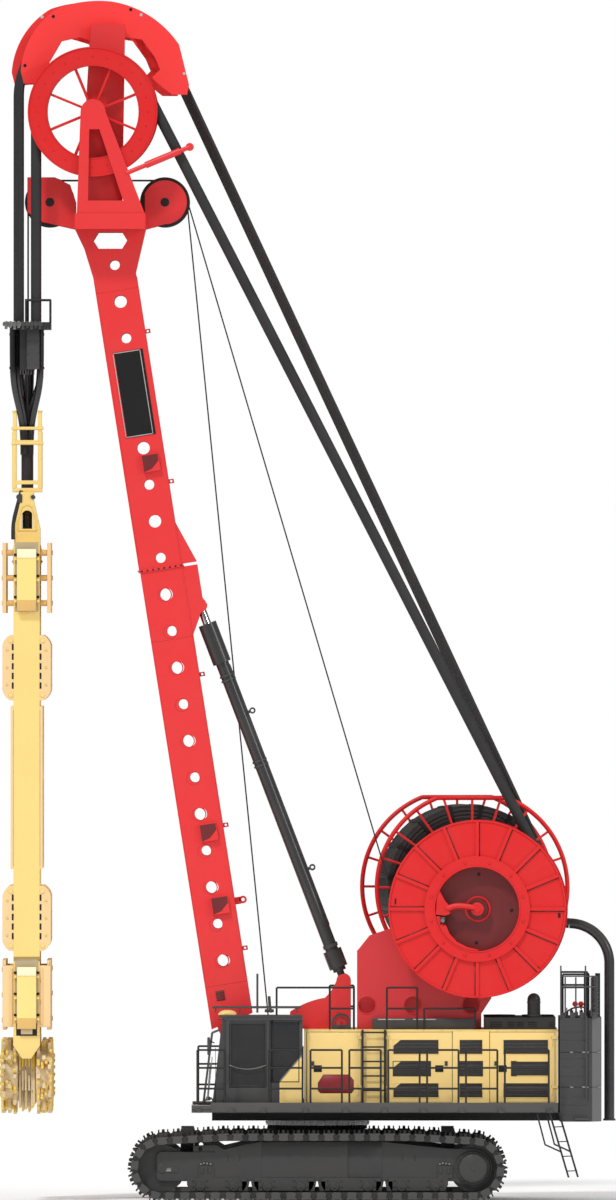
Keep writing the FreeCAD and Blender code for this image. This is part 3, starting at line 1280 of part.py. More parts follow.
def mast_lower():
    """Lower mast section with its foot eyes, flange and the lugs of the luffing cylinders."""
    front, back, wall = -d.mast_front, d.mast_back, d.mast_plate
    joint = d.mast_joint
    top = joint - d.mast_flange
    outer = [(front, d.foot_eye * 1.3), (back, d.foot_eye * 2.2), (back, top), (front, top)]
    inner = [(front + wall, d.foot_eye * 1.3 + wall), (back - wall, d.foot_eye * 2.2 + wall),
             (back - wall, top - wall), (front + wall, top - wall)]
    count = int((number(joint) - number(d.lightening_first)) // number(d.lightening_pitch)) + 1
    parts = [mast_section(outer, inner, lightening(0, count))]
    proud = d.flange_proud
    parts.append(box((front - proud, -d.mast_half - proud, top),
                     (back - front + proud * 2, (d.mast_half + proud) * 2, d.mast_flange)))
    eye = d.foot_eye
    foot = [(-eye * 1.5, eye * 2.2), (-eye, 0), (0, -eye, eye), (eye, 0, eye),
            (eye * 1.5, eye * 2.2)]
    for side in (-1, 1):
        start = d.mast_half - d.foot_lug if side > 0 else -d.mast_half
        parts.append(plate("XZ", foot, start, d.foot_lug, name="foot_eye"))
    parts.append(luff_lugs(d.mast_joint - d.mast_flange))
    for place in (d.lug_first, d.lug_second, d.lug_third):
        parts.append(box((back, -d.lug_width / 2, place), (d.lug_reach, d.lug_width, d.lug_height)))
    parts += side_boxes(d.box_first) + side_boxes(d.box_second)
    whole = fuse(parts)
    bore = rod((0, -d.mast_half * 2, 0), Y_AXIS, d.foot_pin + d.pin_gap, d.mast_half * 4)
    rear_holes = [rod((back + d.lug_reach / 2, -d.lug_width / 2, place + d.lug_height / 2), Y_AXIS,
                      d.lug_bore, d.lug_width) for place in (d.lug_first, d.lug_second, d.lug_third)]
    return finish(cut(whole, [bore] + rear_holes), "mast_lower", foot_at, mast_turn)


luff_eye_at = to_mast(-d.luff_eye_x, d.luff_eye_z)


def luff_lugs(top):
    """Four lug plates behind the mast with the two pins for the luffing cylinders."""
    v, u = luff_eye_at
    r = d.luff_eye
    back = d.mast_back - d.mast_plate
    outline = [(back, u - r * 4.2), (v, u - r), (v + r, u, r), (v + r * 0.5, u + r),
               (v + r * 0.5, top), (back, top)]
    parts = []
    reach = d.luff_eye_width / 2 + d.lug_gap
    for side in (-1, 1):
        middle = side * d.luff_spread / 2
        for start in (middle - reach - d.bracket_plate, middle + reach):
            parts.append(plate("XZ", outline, start, d.bracket_plate, name="luff_lug"))
        parts.append(rod((v, middle - reach - d.bracket_plate, u), Y_AXIS, d.luff_pin,
                         (reach + d.bracket_plate) * 2))
    return fuse(parts)


def mast_upper():
    """Upper mast section, wider at its head, with the round and the six-sided openings."""
    front, back, wall = -d.mast_front - d.mast_taper, d.mast_back - d.mast_taper, d.mast_plate
    low = d.mast_joint
    top_front = to_mast(-d.head_front, d.head_low)
    top_rear = to_mast(-d.head_rear, d.head_low)
    knee, knee_rear = d.mast_top, d.mast_top - d.mast_taper
    outer = [(front, low), (back, low), (back, knee_rear), top_rear, top_front,
             (front - d.head_flare, knee + d.head_flare * 7), (front, knee)]
    inner = [(front + wall, low + wall), (back - wall, low + wall), (back - wall, knee_rear + wall),
             (top_rear[0] - wall * 2, top_rear[1] - wall), (top_front[0] + wall * 2, top_front[1] - wall),
             (front - d.head_flare + wall, knee + d.head_flare * 7), (front + wall, knee)]
    first = int((number(low) - number(d.lightening_first)) // number(d.lightening_pitch)) + 1
    middle = to_mast(-(d.head_front + d.head_rear) / 2, d.head_low - d.window_drop)
    window = []
    for share_x, share_z in ((-1, 0), (-0.7, 1), (0.7, 1), (1, 0), (0.7, -1), (-0.7, -1)):
        across, along = d.window_half * share_x, d.window_rise * share_z
        window.append((middle[0] + across * lean_cos + along * lean_sin,
                       middle[1] + along * lean_cos - across * lean_sin))
    section = mast_section(outer, inner, lightening(first, 20), [window])
    proud = d.flange_proud
    flange = box((front - proud, -d.mast_half - proud, low),
                 (back - front + proud * 2, (d.mast_half + proud) * 2, d.mast_flange))
    v = luff_eye_at[0] + d.luff_eye * 0.5
    gusset = [(back - wall, low + d.mast_flange), (v, low + d.mast_flange),
              (back - wall, low + d.gusset_rise)]
    reach = d.luff_eye_width / 2 + d.lug_gap
    gussets = []
    for side in (-1, 1):
        for start in (side * d.luff_spread / 2 - reach - d.bracket_plate, side * d.luff_spread / 2 + reach):
            gussets.append(plate("XZ", gusset, start, d.bracket_plate, name="gusset"))
    lugs, holes = [], []
    for place in (d.lug_fourth, d.lug_fifth):
        lugs.append(box((back, -d.lug_width / 2, place), (d.lug_reach, d.lug_width, d.lug_height)))
        holes.append(rod((back + d.lug_reach / 2, -d.lug_width / 2, place + d.lug_height / 2), Y_AXIS,
                         d.lug_bore, d.lug_width))
    whole = fuse([section, flange] + gussets + lugs + side_boxes(d.box_third))
    return finish(cut(whole, holes), "mast_upper", foot_at, mast_turn)


def sign_plate():
    """Plain board on the side of the mast."""
    board = box((d.hole_line - d.sign_width / 2, -d.mast_half - d.sign_thick,
                 d.sign_middle - d.sign_length / 2), (d.sign_width, d.sign_thick, d.sign_length))
    return finish(board, "sign_plate", foot_at, mast_turn)


head_top = d.head_low + d.head_height


def sheave_cheeks(x, outline):
    """Two cheek plates each side of the ropes, with the axle through them."""
    parts = []
    gap = d.sheave_width / 2 + d.lug_gap
    for side in (-1, 1):
        for start in (side * d.sheave_spread / 2 - gap - d.guard_plate, side * d.sheave_spread / 2 + gap):
            parts.append(plate("XZ", outline, start, d.guard_plate, name="cheek"))
    reach = d.sheave_spread / 2 + gap + d.guard_plate
    parts.append(rod((x, -reach, d.sheave_z), Y_AXIS, d.sheave_axle, reach * 2))
    return parts


def mast_head():
    """Head block with the cheek plates and axles of the front and rear sheaves."""
    block = box((-d.head_front, -d.head_near, d.head_low),
                (d.head_front - d.head_rear, d.head_near + d.head_far, d.head_height))
    outer, top = d.sheave_outer, d.sheave_z + d.sheave_outer
    x = -d.front_sheave_x
    front = [(-d.head_front + d.guard_plate, d.head_low), (-d.head_front + d.guard_plate, d.sheave_z),
             (-d.head_front - outer * 0.2, top - outer * 0.3), (x + outer * 0.2, top),
             (x - outer * 0.9, top), (x - outer * 0.9, d.sheave_z - outer * 0.4),
             (x - outer * 0.3, d.head_low + outer * 0.3)]
    x = -d.rear_sheave_x
    round_off = outer * 0.88
    rear = [(-d.head_rear - d.guard_plate, d.head_low), (x, d.sheave_z - round_off),
            (x + round_off, d.sheave_z, round_off), (x, d.sheave_z + round_off, round_off),
            (-d.head_rear - d.guard_plate, d.sheave_z + round_off * 0.4, round_off)]
    slot_width = d.sheave_width + d.lug_gap * 2
    slots = [rod((x, side * d.sheave_spread / 2 - slot_width / 2, d.sheave_z), Y_AXIS,
                 outer + d.guard_plate, slot_width) for side in (-1, 1)]
    parts = [cut(block, slots)]
    parts += sheave_cheeks(-d.front_sheave_x, front) + sheave_cheeks(-d.rear_sheave_x, rear)
    return finish(fuse(parts), "mast_head")


def sheaves(label, x):
    """The two rope sheaves of one axle."""
    parts = []
    half = d.sheave_width / 2
    for side in (-1, 1):
        y = side * d.sheave_spread / 2
        rim = half - rope_radius - d.rope_play
        disc = fuse([rod((0, y - half, 0), Y_AXIS, d.sheave_groove, d.sheave_width),
                     rod((0, y - half, 0), Y_AXIS, d.sheave_outer, rim),
                     rod((0, y + half - rim, 0), Y_AXIS, d.sheave_outer, rim)])
        parts.append(cut(disc, [rod((0, y - half * 2, 0), Y_AXIS, d.sheave_axle + d.pin_gap,
                                    d.sheave_width * 2)]))
    return finish(group(parts), label, (x, 0, d.sheave_z))


# ---------------------------------------------------------------- hose guides on the mast head
wheel_at = (-d.hose_wheel_x, -d.hose_wheel_y, d.hose_wheel_z)
arch_at = (-d.arch_x, d.arch_y, d.arch_z)
roller_path = d.arch_path - hose_radius - d.guide_roller - d.run_gap


def head_strut():
    """Turnbuckle strut that stands out behind the near leg, with the eye at its free end."""
    y = -d.leg_near - d.leg_plate / 2
    low, high = (-d.strut_low_x, y, d.strut_low_z), (-d.strut_high_x, y, d.strut_high_z)
    across, rise = high[0] - low[0], high[2] - low[2]
    first, last = [(low[0] + across * share, y, low[2] + rise * share) for share in (0.3, 0.85)]
    eye = d.strut_barrel
    return [line(low, high, d.strut_radius), line(first, last, d.strut_barrel),
            rod((high[0], y - eye / 2, high[2]), Y_AXIS, eye * 1.2, eye)]


def hose_stand():
    """Legs that carry the slurry hose wheel, and the column for the hose arch."""
    x, z = -d.hose_wheel_x, d.hose_wheel_z
    apex = d.stand_hub
    outline = [(x - apex * 1.3, head_top), (-d.head_rear - d.guard_plate, head_top),
               (x + apex, z), (x, z + apex, apex), (x - apex, z, apex)]
    window = [(x - apex * 0.4, head_top + apex), (x + apex * 2.4, head_top + apex),
              (x + apex * 0.5, z - apex * 1.4), (x - apex * 0.3, z - apex * 1.4)]
    legs = []
    for start in (-d.leg_near - d.leg_plate, -d.leg_far - d.leg_plate):
        legs.append(plate("XZ", outline, start, d.leg_plate, holes=[window], name="leg"))
    axle_reach = d.leg_near - d.hose_wheel_y + d.leg_plate / 2
    axle = rod(toed(wheel_at, mud_turn, (0, -axle_reach, 0)), towards(mud_turn).multVec(Y_AXIS),
               d.hose_wheel_axle, axle_reach + d.hose_wheel_y - d.leg_far - d.leg_plate / 2)
    low = head_top - d.arch_z
    start = -d.arch_half - d.arch_plate - d.column_gap - d.column_depth_y
    column = plate("XZ", [(-d.column_half * 1.25, low), (d.column_half * 0.85, low),
                          (d.column_half, d.column_rise), (-d.column_half * 0.7, d.column_rise)],
                   start, d.column_depth_y, name="column")
    put(column, toed(arch_at, hose_turn, (0, start, 0)), towards(hose_turn))
    return finish(fuse(legs + [axle, column] + head_strut()), "hose_stand")


def arch_outline():
    """Side outline of the hose arch's plates about the centre of the hoses' path."""
    return [(-1738, 520), (-920, 1852, -1664), (172, 1976, -2496), (1579, 1082, -2080), (1788, 250),
            (1747, 42), (1431, 42), (1137, 271), (1012, 396), (1180, 562), (1075, 812), (802, 1186),
            (382, 1248), (277, 1020), (130, 978), (-143, 1124), (-500, 1228), (-878, 1144),
            (-1193, 604), (-1256, 271), (-1675, 271)]


def arch_guide():
    """Two arch plates with the guide rollers of the hydraulic hoses between them."""
    half = d.arch_half
    outline = [tuple(d.arch_path * (c / 1685.0) for c in point) for point in arch_outline()]
    parts = []
    for start in (-half - d.arch_plate, half):
        side = plate("XZ", outline, start, d.arch_plate, name="arch_plate")
        parts.append(side)
    for angle in range(25, 170, 16):
        x, z = polar(1.0, angle)
        parts.append(rod((roller_path * x, -half, roller_path * z), Y_AXIS, d.guide_roller, half * 2))
    for x, z in ((-0.1, 0.80), (0.22, 0.82)):
        start = -half - d.arch_plate - d.column_gap
        parts.append(rod((d.arch_path * x, start, d.arch_path * z), Y_AXIS, d.hose_wheel_axle,
                         half * 2 + d.arch_plate + d.column_gap))
    return finish(fuse(parts), "arch_guide", arch_at, towards(hose_turn))


def hose_wheel():
    """Grooved wheel that leads the slurry hose over the mast head."""
    half = d.hose_wheel_width / 2
    floor = d.hose_wheel_groove - d.mud_hose / 2 - d.run_gap
    parts = [ring((0, -half, 0), Y_AXIS, floor, d.hose_wheel_inner, half * 2)]
    for start in (-half - d.wheel_flange, half):
        parts.append(ring((0, start, 0), Y_AXIS, d.hose_wheel_outer, d.hose_wheel_inner, d.wheel_flange))
    parts.append(rod((0, -half - d.wheel_flange, 0), Y_AXIS, d.hose_wheel_hub, (half + d.wheel_flange) * 2))
    for index in range(8):
        parts.append(spoke(45.0 * index + 22.5, d.hose_wheel_hub * 0.8,
                           d.hose_wheel_inner + d.wheel_flange, 0, half * 1.4, d.wheel_flange * 2))
    bore = rod((0, -half * 2, 0), Y_AXIS, d.hose_wheel_axle + d.pin_gap, half * 4)
    return finish(cut(fuse(parts), [bore]), "hose_wheel", wheel_at, towards(mud_turn))


# ---------------------------------------------------------------- hoses and ropes
arch_leave = leaving_angle((-d.arch_x, d.arch_z), d.arch_path, (d.hose_drum_x, d.hose_drum_z), d.hose_winding)
mud_path = d.mud_core + d.mud_hose / 2
wheel_leave = leaving_angle((-d.hose_wheel_x, d.hose_wheel_z), d.hose_wheel_groove,
                            (d.mud_drum_x, d.mud_drum_z), mud_path)
rope_path = d.sheave_groove + rope_radius + d.run_gap
hose_lanes = [(k - 2.5) for k in range(6)]


def on_circle(radius, angle, y):
    x, z = polar(1.0, angle)
    return (radius * x, y, radius * z)


winch_ropes = (
    (1, (-d.front_winch_x, d.winch_lead, d.front_winch_z)),
    (-1, (d.main_winch_x, d.main_winch_y, d.main_winch_z)),
)


def rope_angle(winch_place):
    return leaving_angle((-d.rear_sheave_x, d.sheave_z), rope_path,
                         (winch_place[0], winch_place[2]), d.winch_core + rope_radius)


def rear_lines():
    """Hydraulic hoses, slurry hose and hoist ropes from the mast head to drums and winches."""
    parts = []
    for lane in hose_lanes:
        start = toed(arch_at, hose_turn, on_circle(d.arch_path, arch_leave, d.hose_pitch * lane))
        end = toed(hose_drum_at, hose_turn, on_circle(d.hose_winding, arch_leave, d.hose_pitch * lane))
        parts.append(line(start, end, hose_radius, "rear_hose"))
    start = toed(wheel_at, mud_turn, on_circle(d.hose_wheel_groove, wheel_leave, 0))
    end = toed(mud_drum_at, mud_turn, on_circle(mud_path + d.rope_play, wheel_leave, d.mud_lay))
    parts.append(line(start, end, d.mud_hose / 2, "rear_mud_hose"))
    for side, place in winch_ropes:
        angle = rope_angle(place)
        x, _, z = on_circle(rope_path, angle, 0)
        start = (-d.rear_sheave_x + x, side * d.sheave_spread / 2, d.sheave_z + z)
        x, _, z = on_circle(d.winch_core + rope_radius, angle, 0)
        parts.append(line(start, (place[0] + x, place[1], place[2] + z), rope_radius, "rear_rope"))
    return finish(group(parts), "rear_lines")


def head_lines():
    """Hoses over the arch and the wheel, and ropes over the sheaves."""
    parts = []
    for lane in hose_lanes:
        y = d.hose_pitch * lane
        parts.append(bend(arch_leave, 180.0 - arch_leave, d.arch_path, hose_radius, y, arch_at, hose_turn))
        parts.append(line(toed(arch_at, hose_turn, (-d.arch_path, y, 0)),
                          toed(arch_at, hose_turn, (-d.arch_path, y, -d.hose_hang)), hose_radius))
    parts.append(bend(wheel_leave, 180.0 - wheel_leave, d.hose_wheel_groove, d.mud_hose / 2, 0,
                      wheel_at, mud_turn))
    parts.append(line(toed(wheel_at, mud_turn, (-d.hose_wheel_groove, 0, 0)),
                      toed(wheel_at, mud_turn, (-d.hose_wheel_groove, 0, -d.hose_hang)), d.mud_hose / 2))
    ropes = []
    for side, place in winch_ropes:
        y = side * d.sheave_spread / 2
        front = (-d.front_sheave_x, y, d.sheave_z)
        rear = (-d.rear_sheave_x, y, d.sheave_z)
        angle = rope_angle(place)
        ropes.append(fuse([bend(90.0, 90.0, rope_path, rope_radius, 0, front),
                           line((front[0], y, d.sheave_z + rope_path), (rear[0], y, d.sheave_z + rope_path),
                                rope_radius),
                           bend(angle, 90.0 - angle, rope_path, rope_radius, 0, rear)]))
    hoses = [fuse(parts[k:k + 2]) for k in range(0, len(parts), 2)]
    return finish(group(hoses + ropes), "head_lines")


clamp_top = d.clamp_low + d.clamp_height


def front_lines():
    """Hoses and ropes that hang from the mast head to the clamp above the cutter."""
    parts = []
    for lane in hose_lanes:
        top = toed(arch_at, hose_turn, (-d.arch_path, d.hose_pitch * lane, -d.hose_hang))
        parts.append(line((top[0], top[1], clamp_top), top, hose_radius, "front_hose"))
    top = toed(wheel_at, mud_turn, (-d.hose_wheel_groove, 0, -d.hose_hang))
    parts.append(line((top[0], top[1], clamp_top), top, d.mud_hose / 2, "front_mud_hose"))
    for side in (-1, 1):
        x, y = -d.front_sheave_x - rope_path, side * d.sheave_spread / 2
        parts.append(line((x, y, clamp_top), (x, y, d.sheave_z), rope_radius, "hoist_rope"))
    return finish(group(parts), "front_lines")


# ---------------------------------------------------------------- luffing cylinders
luff_dx = number(d.luff_base_x) + number(d.luff_eye_x)
luff_dz = number(d.luff_eye_z) - number(d.luff_base_z)
luff_length = math.hypot(luff_dx, luff_dz)
luff_turn = FreeCAD.Rotation(Y_AXIS, -math.degrees(math.atan2(luff_dx, luff_dz)))
luff_base_at = (d.luff_base_x, 0, d.luff_base_z)


def luff_barrels():
    """Barrels of the two luffing cylinders on their lower eyes."""
    parts = []
    mouth = luff_length - d.rod_show
    gland = d.gland_length
    for side in (-1, 1):
        y = side * d.luff_spread / 2
        start = y - d.luff_eye_width / 2
        eye = d.luff_eye
        whole = fuse([rod((0, start, 0), Y_AXIS, eye, d.luff_eye_width),
                      rod((0, y, 0), Z_AXIS, eye * 0.5, eye * 1.6),
                      rod((0, y, eye * 2.0), Z_AXIS, d.collar_radius, d.collar_length),
                      rod((0, y, eye * 1.5), Z_AXIS, d.barrel_radius, mouth - eye * 1.5),
                      rod((0, y, mouth - gland), Z_AXIS, d.gland_radius, gland)])
        bore = rod((0, y, mouth - gland - d.rod_inside * 1.1), Z_AXIS, d.luff_rod + d.run_gap,
                   gland + d.rod_inside * 1.2)
        pin = rod((0, start, 0), Y_AXIS, d.luff_pin + d.pin_gap, d.luff_eye_width)
        parts.append(cut(whole, [bore, pin]))
    return finish(group(parts), "luff_barrels", luff_base_at, luff_turn)


def luff_rods():
    """Rods of the luffing cylinders with the eyes that sit between the mast lugs."""
    parts = []
    for side in (-1, 1):
        y = side * d.luff_spread / 2
        start = y - d.luff_eye_width / 2
        foot = luff_length - d.rod_show - d.gland_length - d.rod_inside
        whole = fuse([rod((0, start, luff_length), Y_AXIS, d.luff_eye * 0.93, d.luff_eye_width),
                      rod((0, y, foot), Z_AXIS, d.luff_rod, luff_length - foot - d.luff_pin * 1.3)])
        pin = rod((0, start, luff_length), Y_AXIS, d.luff_pin + d.eye_play, d.luff_eye_width)
        parts.append(cut(whole, [pin]))
    return finish(group(parts), "luff_rods", luff_base_at, luff_turn)


# ---------------------------------------------------------------- cutter
cutter_half = d.column_depth / 2
cutter_mid = -d.cutter_x


def cutter_column():
    """Cutter frame with its openings, and the gear shields between the cutting wheels."""
    half, wall = d.cutter_half_width, d.side_beam
    pitch = (d.column_top - d.column_low - d.side_beam) / 4
    windows = []
    for index in range(4):
        low = d.column_low + wall + pitch * index
        windows.append(rectangle(-half + wall, low, half - wall, low + pitch - wall))
    frame = plate("YZ", rectangle(-half, d.column_low, half, d.column_top), cutter_mid - cutter_half,
                  d.column_depth, holes=windows, name="frame")
    parts = [frame]
    shield_half = d.shield_depth / 2
    radius = d.shield_radius
    for side in (-1, 1):
        y = side * d.cutter_wheel_spread / 2
        outline = [(y - radius, d.cutter_wheel_z), (y, d.cutter_wheel_z - radius, radius),
                   (y + radius, d.cutter_wheel_z, radius), (y + radius, d.column_low),
                   (y - radius, d.column_low)]
        shield = plate("YZ", outline, cutter_mid - shield_half, d.shield_depth, name="shield")
        parts.append(shield)
    neck = [(cutter_mid - cutter_half, d.column_low), (cutter_mid - shield_half, d.neck_low),
            (cutter_mid + shield_half, d.neck_low), (cutter_mid + cutter_half, d.column_low)]
    parts.append(plate("XZ", neck, -half * 0.93, half * 1.86, name="neck"))
    whole = fuse(parts)
    bores = [rod((cutter_mid - shield_half, side * d.cutter_wheel_spread / 2, d.cutter_wheel_z), X_AXIS,
                 d.wheel_shaft + d.pin_gap, d.shield_depth) for side in (-1, 1)]
    return finish(cut(whole, bores), "cutter_column")


def cutter_head():
    """Tapered head with its arched window, and the guide cage above it."""
    top, low = d.cage_low, d.column_top
    neck_low = top - d.neck_height
    third = cutter_half / 2
    outline = [(cutter_mid - cutter_half, low), (cutter_mid + cutter_half, low),
               (cutter_mid + cutter_half, low + d.neck_height * 2), (cutter_mid + third, neck_low),
               (cutter_mid + third, top), (cutter_mid - third, top), (cutter_mid - third, neck_low),
               (cutter_mid - cutter_half, low + d.neck_height * 2)]
    half = d.arch_window
    sill, spring = low + d.neck_height * 2, low + d.neck_height * 3.6
    window = [(cutter_mid - half, sill), (cutter_mid + half, sill), (cutter_mid + half, spring),
              (cutter_mid, spring + half, half), (cutter_mid - half, spring, half)]
    parts = [plate("XZ", outline, -d.head_depth, d.head_depth * 2, holes=[window], name="head")]
    post = d.cage_post
    x_low, x_high = cutter_mid - d.cage_half, cutter_mid + d.cage_half
    parts.append(box((x_low, -d.cage_depth, top), (d.cage_half * 2, d.cage_depth * 2, post)))
    for x in (x_low, x_high - post):
        for y in (-d.cage_depth, d.cage_depth - post):
            parts.append(box((x, y, top), (post, post, d.cage_height_all)))
        for z in (top + d.cage_height_all * 0.6, top + d.cage_height_all - post):
            parts.append(box((x, -d.cage_depth, z), (post, d.cage_depth * 2, post)))
    for y in (-d.cage_depth, d.cage_depth - post):
        for z in (top + post * 2, top + d.cage_height_all * 0.6):
            parts.append(box((x_low, y, z), (d.cage_half * 2, post, post)))
    return finish(fuse(parts), "cutter_head")


def hose_bundle():
    """Clamp beam, hose box and the bundle that runs down into the guide cage."""
    low, high = d.clamp_low, d.clamp_low + d.clamp_height
    near, far = d.clamp_near, d.clamp_far
    parts = [box((-d.clamp_front, -near, low), (d.clamp_front - d.clamp_rear, near + far, d.clamp_height)),
             box((cutter_mid - d.bundle_box, -far, d.bundle_low),
                 (d.bundle_box * 2, far * 2, low - d.bundle_low))]
    base = d.cage_low + d.cage_post
    waist = d.cage_low + d.cage_height_all
    gather = waist + d.clamp_height / 2
    for x in (-1, 1):
        for y in (-1, 0, 1):
            top_x, top_y = cutter_mid + d.bundle_spread * x, d.bundle_side * y
            parts += tube([(top_x, top_y, low), (top_x, top_y, d.bundle_low - d.clamp_height),
                           (cutter_mid + d.bundle_radius * (x * 0.5), d.bundle_radius * (y * 0.5), gather)],
                          d.bundle_hose, "bundle_hose")
    for y in (-1, 1):
        parts.append(line((cutter_mid, d.bundle_side * (y * 0.6), d.bundle_low),
                          (cutter_mid, d.bundle_radius * (y * 0.5), gather), d.bundle_hose, "bundle_hose"))
    parts.append(rod((cutter_mid, 0, base), Z_AXIS, d.bundle_radius, waist - base + d.clamp_height))
    rail = d.bracket_bar
    for x in (-d.bracket_front - rail / 2, -d.clamp_rear - rail):
        for y in (-near, far - rail):
            parts.append(box((x, y, high), (rail, rail, d.bracket_height)))
        for z in (high + d.bracket_height * 0.3, high + d.bracket_height - rail):
            parts.append(box((x, -near, z), (rail, near + far, rail)))
    for y in (-near, far - rail):
        parts.append(box((-d.bracket_front - rail / 2, y, high + d.bracket_height - rail),
                         (d.bracket_front - d.clamp_rear - rail / 2, rail, rail)))
    return finish(fuse(parts), "hose_bundle")


def side_flap(side, low):
    """Narrow guide flap on the edge of the frame, standing on its pins."""
    stand, edge = d.side_flap_stand, d.cutter_half_width
    face = edge if side > 0 else -edge - stand
    leaf_y = face + stand if side > 0 else face - d.flap_thick
    parts = [box((cutter_mid - d.side_flap_half, leaf_y, low),
                 (d.side_flap_half * 2, d.flap_thick, d.side_flap_height))]
    for share in (0.16, 0.5, 0.84):
        parts.append(rod((cutter_mid, face, low + d.side_flap_height * share), Y_AXIS, d.flap_pin, stand))
    return fuse(parts)


def cutter_guides():
    """Guide flaps on their pins, and the rounded shoes on both faces of the frame."""
    parts = []
    half = d.cutter_half_width
    for side in (-1, 1):
        face = cutter_mid + side * cutter_half
        for low, height in ((d.flap_upper, d.flap_height), (d.flap_lower, d.flap_height)):
            plate_x = face + side * d.flap_reach - (d.flap_thick if side < 0 else 0)
            leaf = box((plate_x, -half * 0.9, low), (d.flap_thick, half * 1.8, height))
            pins = []
            for share in (0.14, 0.5, 0.86):
                for y in (-half + d.side_beam / 2, half - d.side_beam / 2):
                    pin_x = face if side > 0 else face - d.flap_reach
                    pins.append(rod((pin_x, y, low + height * share), X_AXIS, d.flap_pin, d.flap_reach))
            parts.append(fuse([leaf] + pins))
        for low, height in ((d.shoe_upper, d.shoe_height), (d.shoe_lower, d.shoe_height)):
            reach = side * d.shoe_reach
            curve = reach * 1.44
            outline = [(face, low), (face + reach * 0.35, low),
                       (face + reach, low + height * 0.16, curve), (face + reach, low + height * 0.84),
                       (face + reach * 0.35, low + height, curve), (face, low + height)]
            for start in (-half, half - d.side_beam):
                parts.append(plate("XZ", outline, start, d.side_beam, name="shoe"))
        for start in (-half, half - d.side_beam):
            x = face if side > 0 else face - d.channel_depth
            parts.append(box((x, start, d.channel_low), (d.channel_depth, d.side_beam, d.channel_length)))
        for low in (d.side_flap_upper, d.side_flap_lower):
            parts.append(side_flap(side, low))
    return finish(group(parts), "cutter_guides")


def cutting_wheels(side, label):
    """Pair of toothed drums on one shaft, one each side of the gear shield."""
    parts = [rod((0, -d.shield_depth / 2 - d.lug_gap * 2, 0), Y_AXIS, d.wheel_shaft,
                 d.shield_depth + d.lug_gap * 4)]
    start = d.shield_depth / 2 + d.lug_gap
    width = d.cutter_wheel_half - start
    for end in (-1, 1):
        base = start if end > 0 else -start - width
        parts.append(rod((0, base, 0), Y_AXIS, d.cutter_wheel_core, width))
        for row in range(3):
            y = end * (start + width * (row + 0.5) / 3)
            for index in range(8):
                angle = 45.0 * index + 15.0 * row
                parts.append(spoke(angle, d.cutter_wheel_core * 0.9, d.cutter_wheel_tip, y,
                                   d.tooth_width, d.tooth_depth))
    place = (cutter_mid, side * d.cutter_wheel_spread / 2, d.cutter_wheel_z)
    return finish(fuse(parts), label, place, FreeCAD.Rotation(Z_AXIS, 90))


def drums_and_lines():
    drum_stands()
    mud_drum()
    mud_winding()
    hose_drum()
    hose_winding()
    slurry_pipe()
    rear_lines()


def mast_group():
    mast_lower()
    mast_upper()
    sign_plate()
    mast_head()
    sheaves("front_sheaves", -d.front_sheave_x)
    sheaves("rear_sheaves", -d.rear_sheave_x)
    hose_stand()
    arch_guide()
    hose_wheel()
    head_lines()
    luff_barrels()
    luff_rods()


def cutter_group():
    front_lines()
    cutter_column()
    cutter_head()
    hose_bundle()
    cutter_guides()
    cutting_wheels(-1, "cutting_wheels_near")
    cutting_wheels(1, "cutting_wheels_far")


undercarriage()
upper_carriage()
drums_and_lines()
mast_group()
cutter_group()
doc.recompute()


def check_and_write():
    """Stop on any failed object, then write one STEP file for each sub-part."""
    for thing in doc.Objects:
        if "Invalid" in thing.State or "Error" in thing.State:
            raise RuntimeError("%s failed: %s" % (thing.Label, thing.State))
    os.makedirs("parts", exist_ok=True)
    for thing in nodes:
        shape = thing.Shape
        if shape.isNull() or not shape.isValid():
            raise RuntimeError("%s has no valid shape" % thing.Label)
        shape.exportStep("parts/%s.step" % thing.Label)
        print(thing.Label, len(shape.Solids), "solids", round(shape.Volume / 1e9, 3), "m3")


check_and_write()
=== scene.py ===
# %% [markdown]
# # A trench cutter, dressed in Blender
# A trench cutter is a crawler crane carrier that lowers a tall hydraulic cutter into the ground. Its
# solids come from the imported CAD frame. This lesson adds what a frame doesn't have: paint and rubber,
# bolts, grilles, teeth, clamps and hoses. Everything is in metres, with +Z up and -X towards the cutter.

# %% Load the frame
import bpy
import json
import math
from mathutils import Matrix, Vector

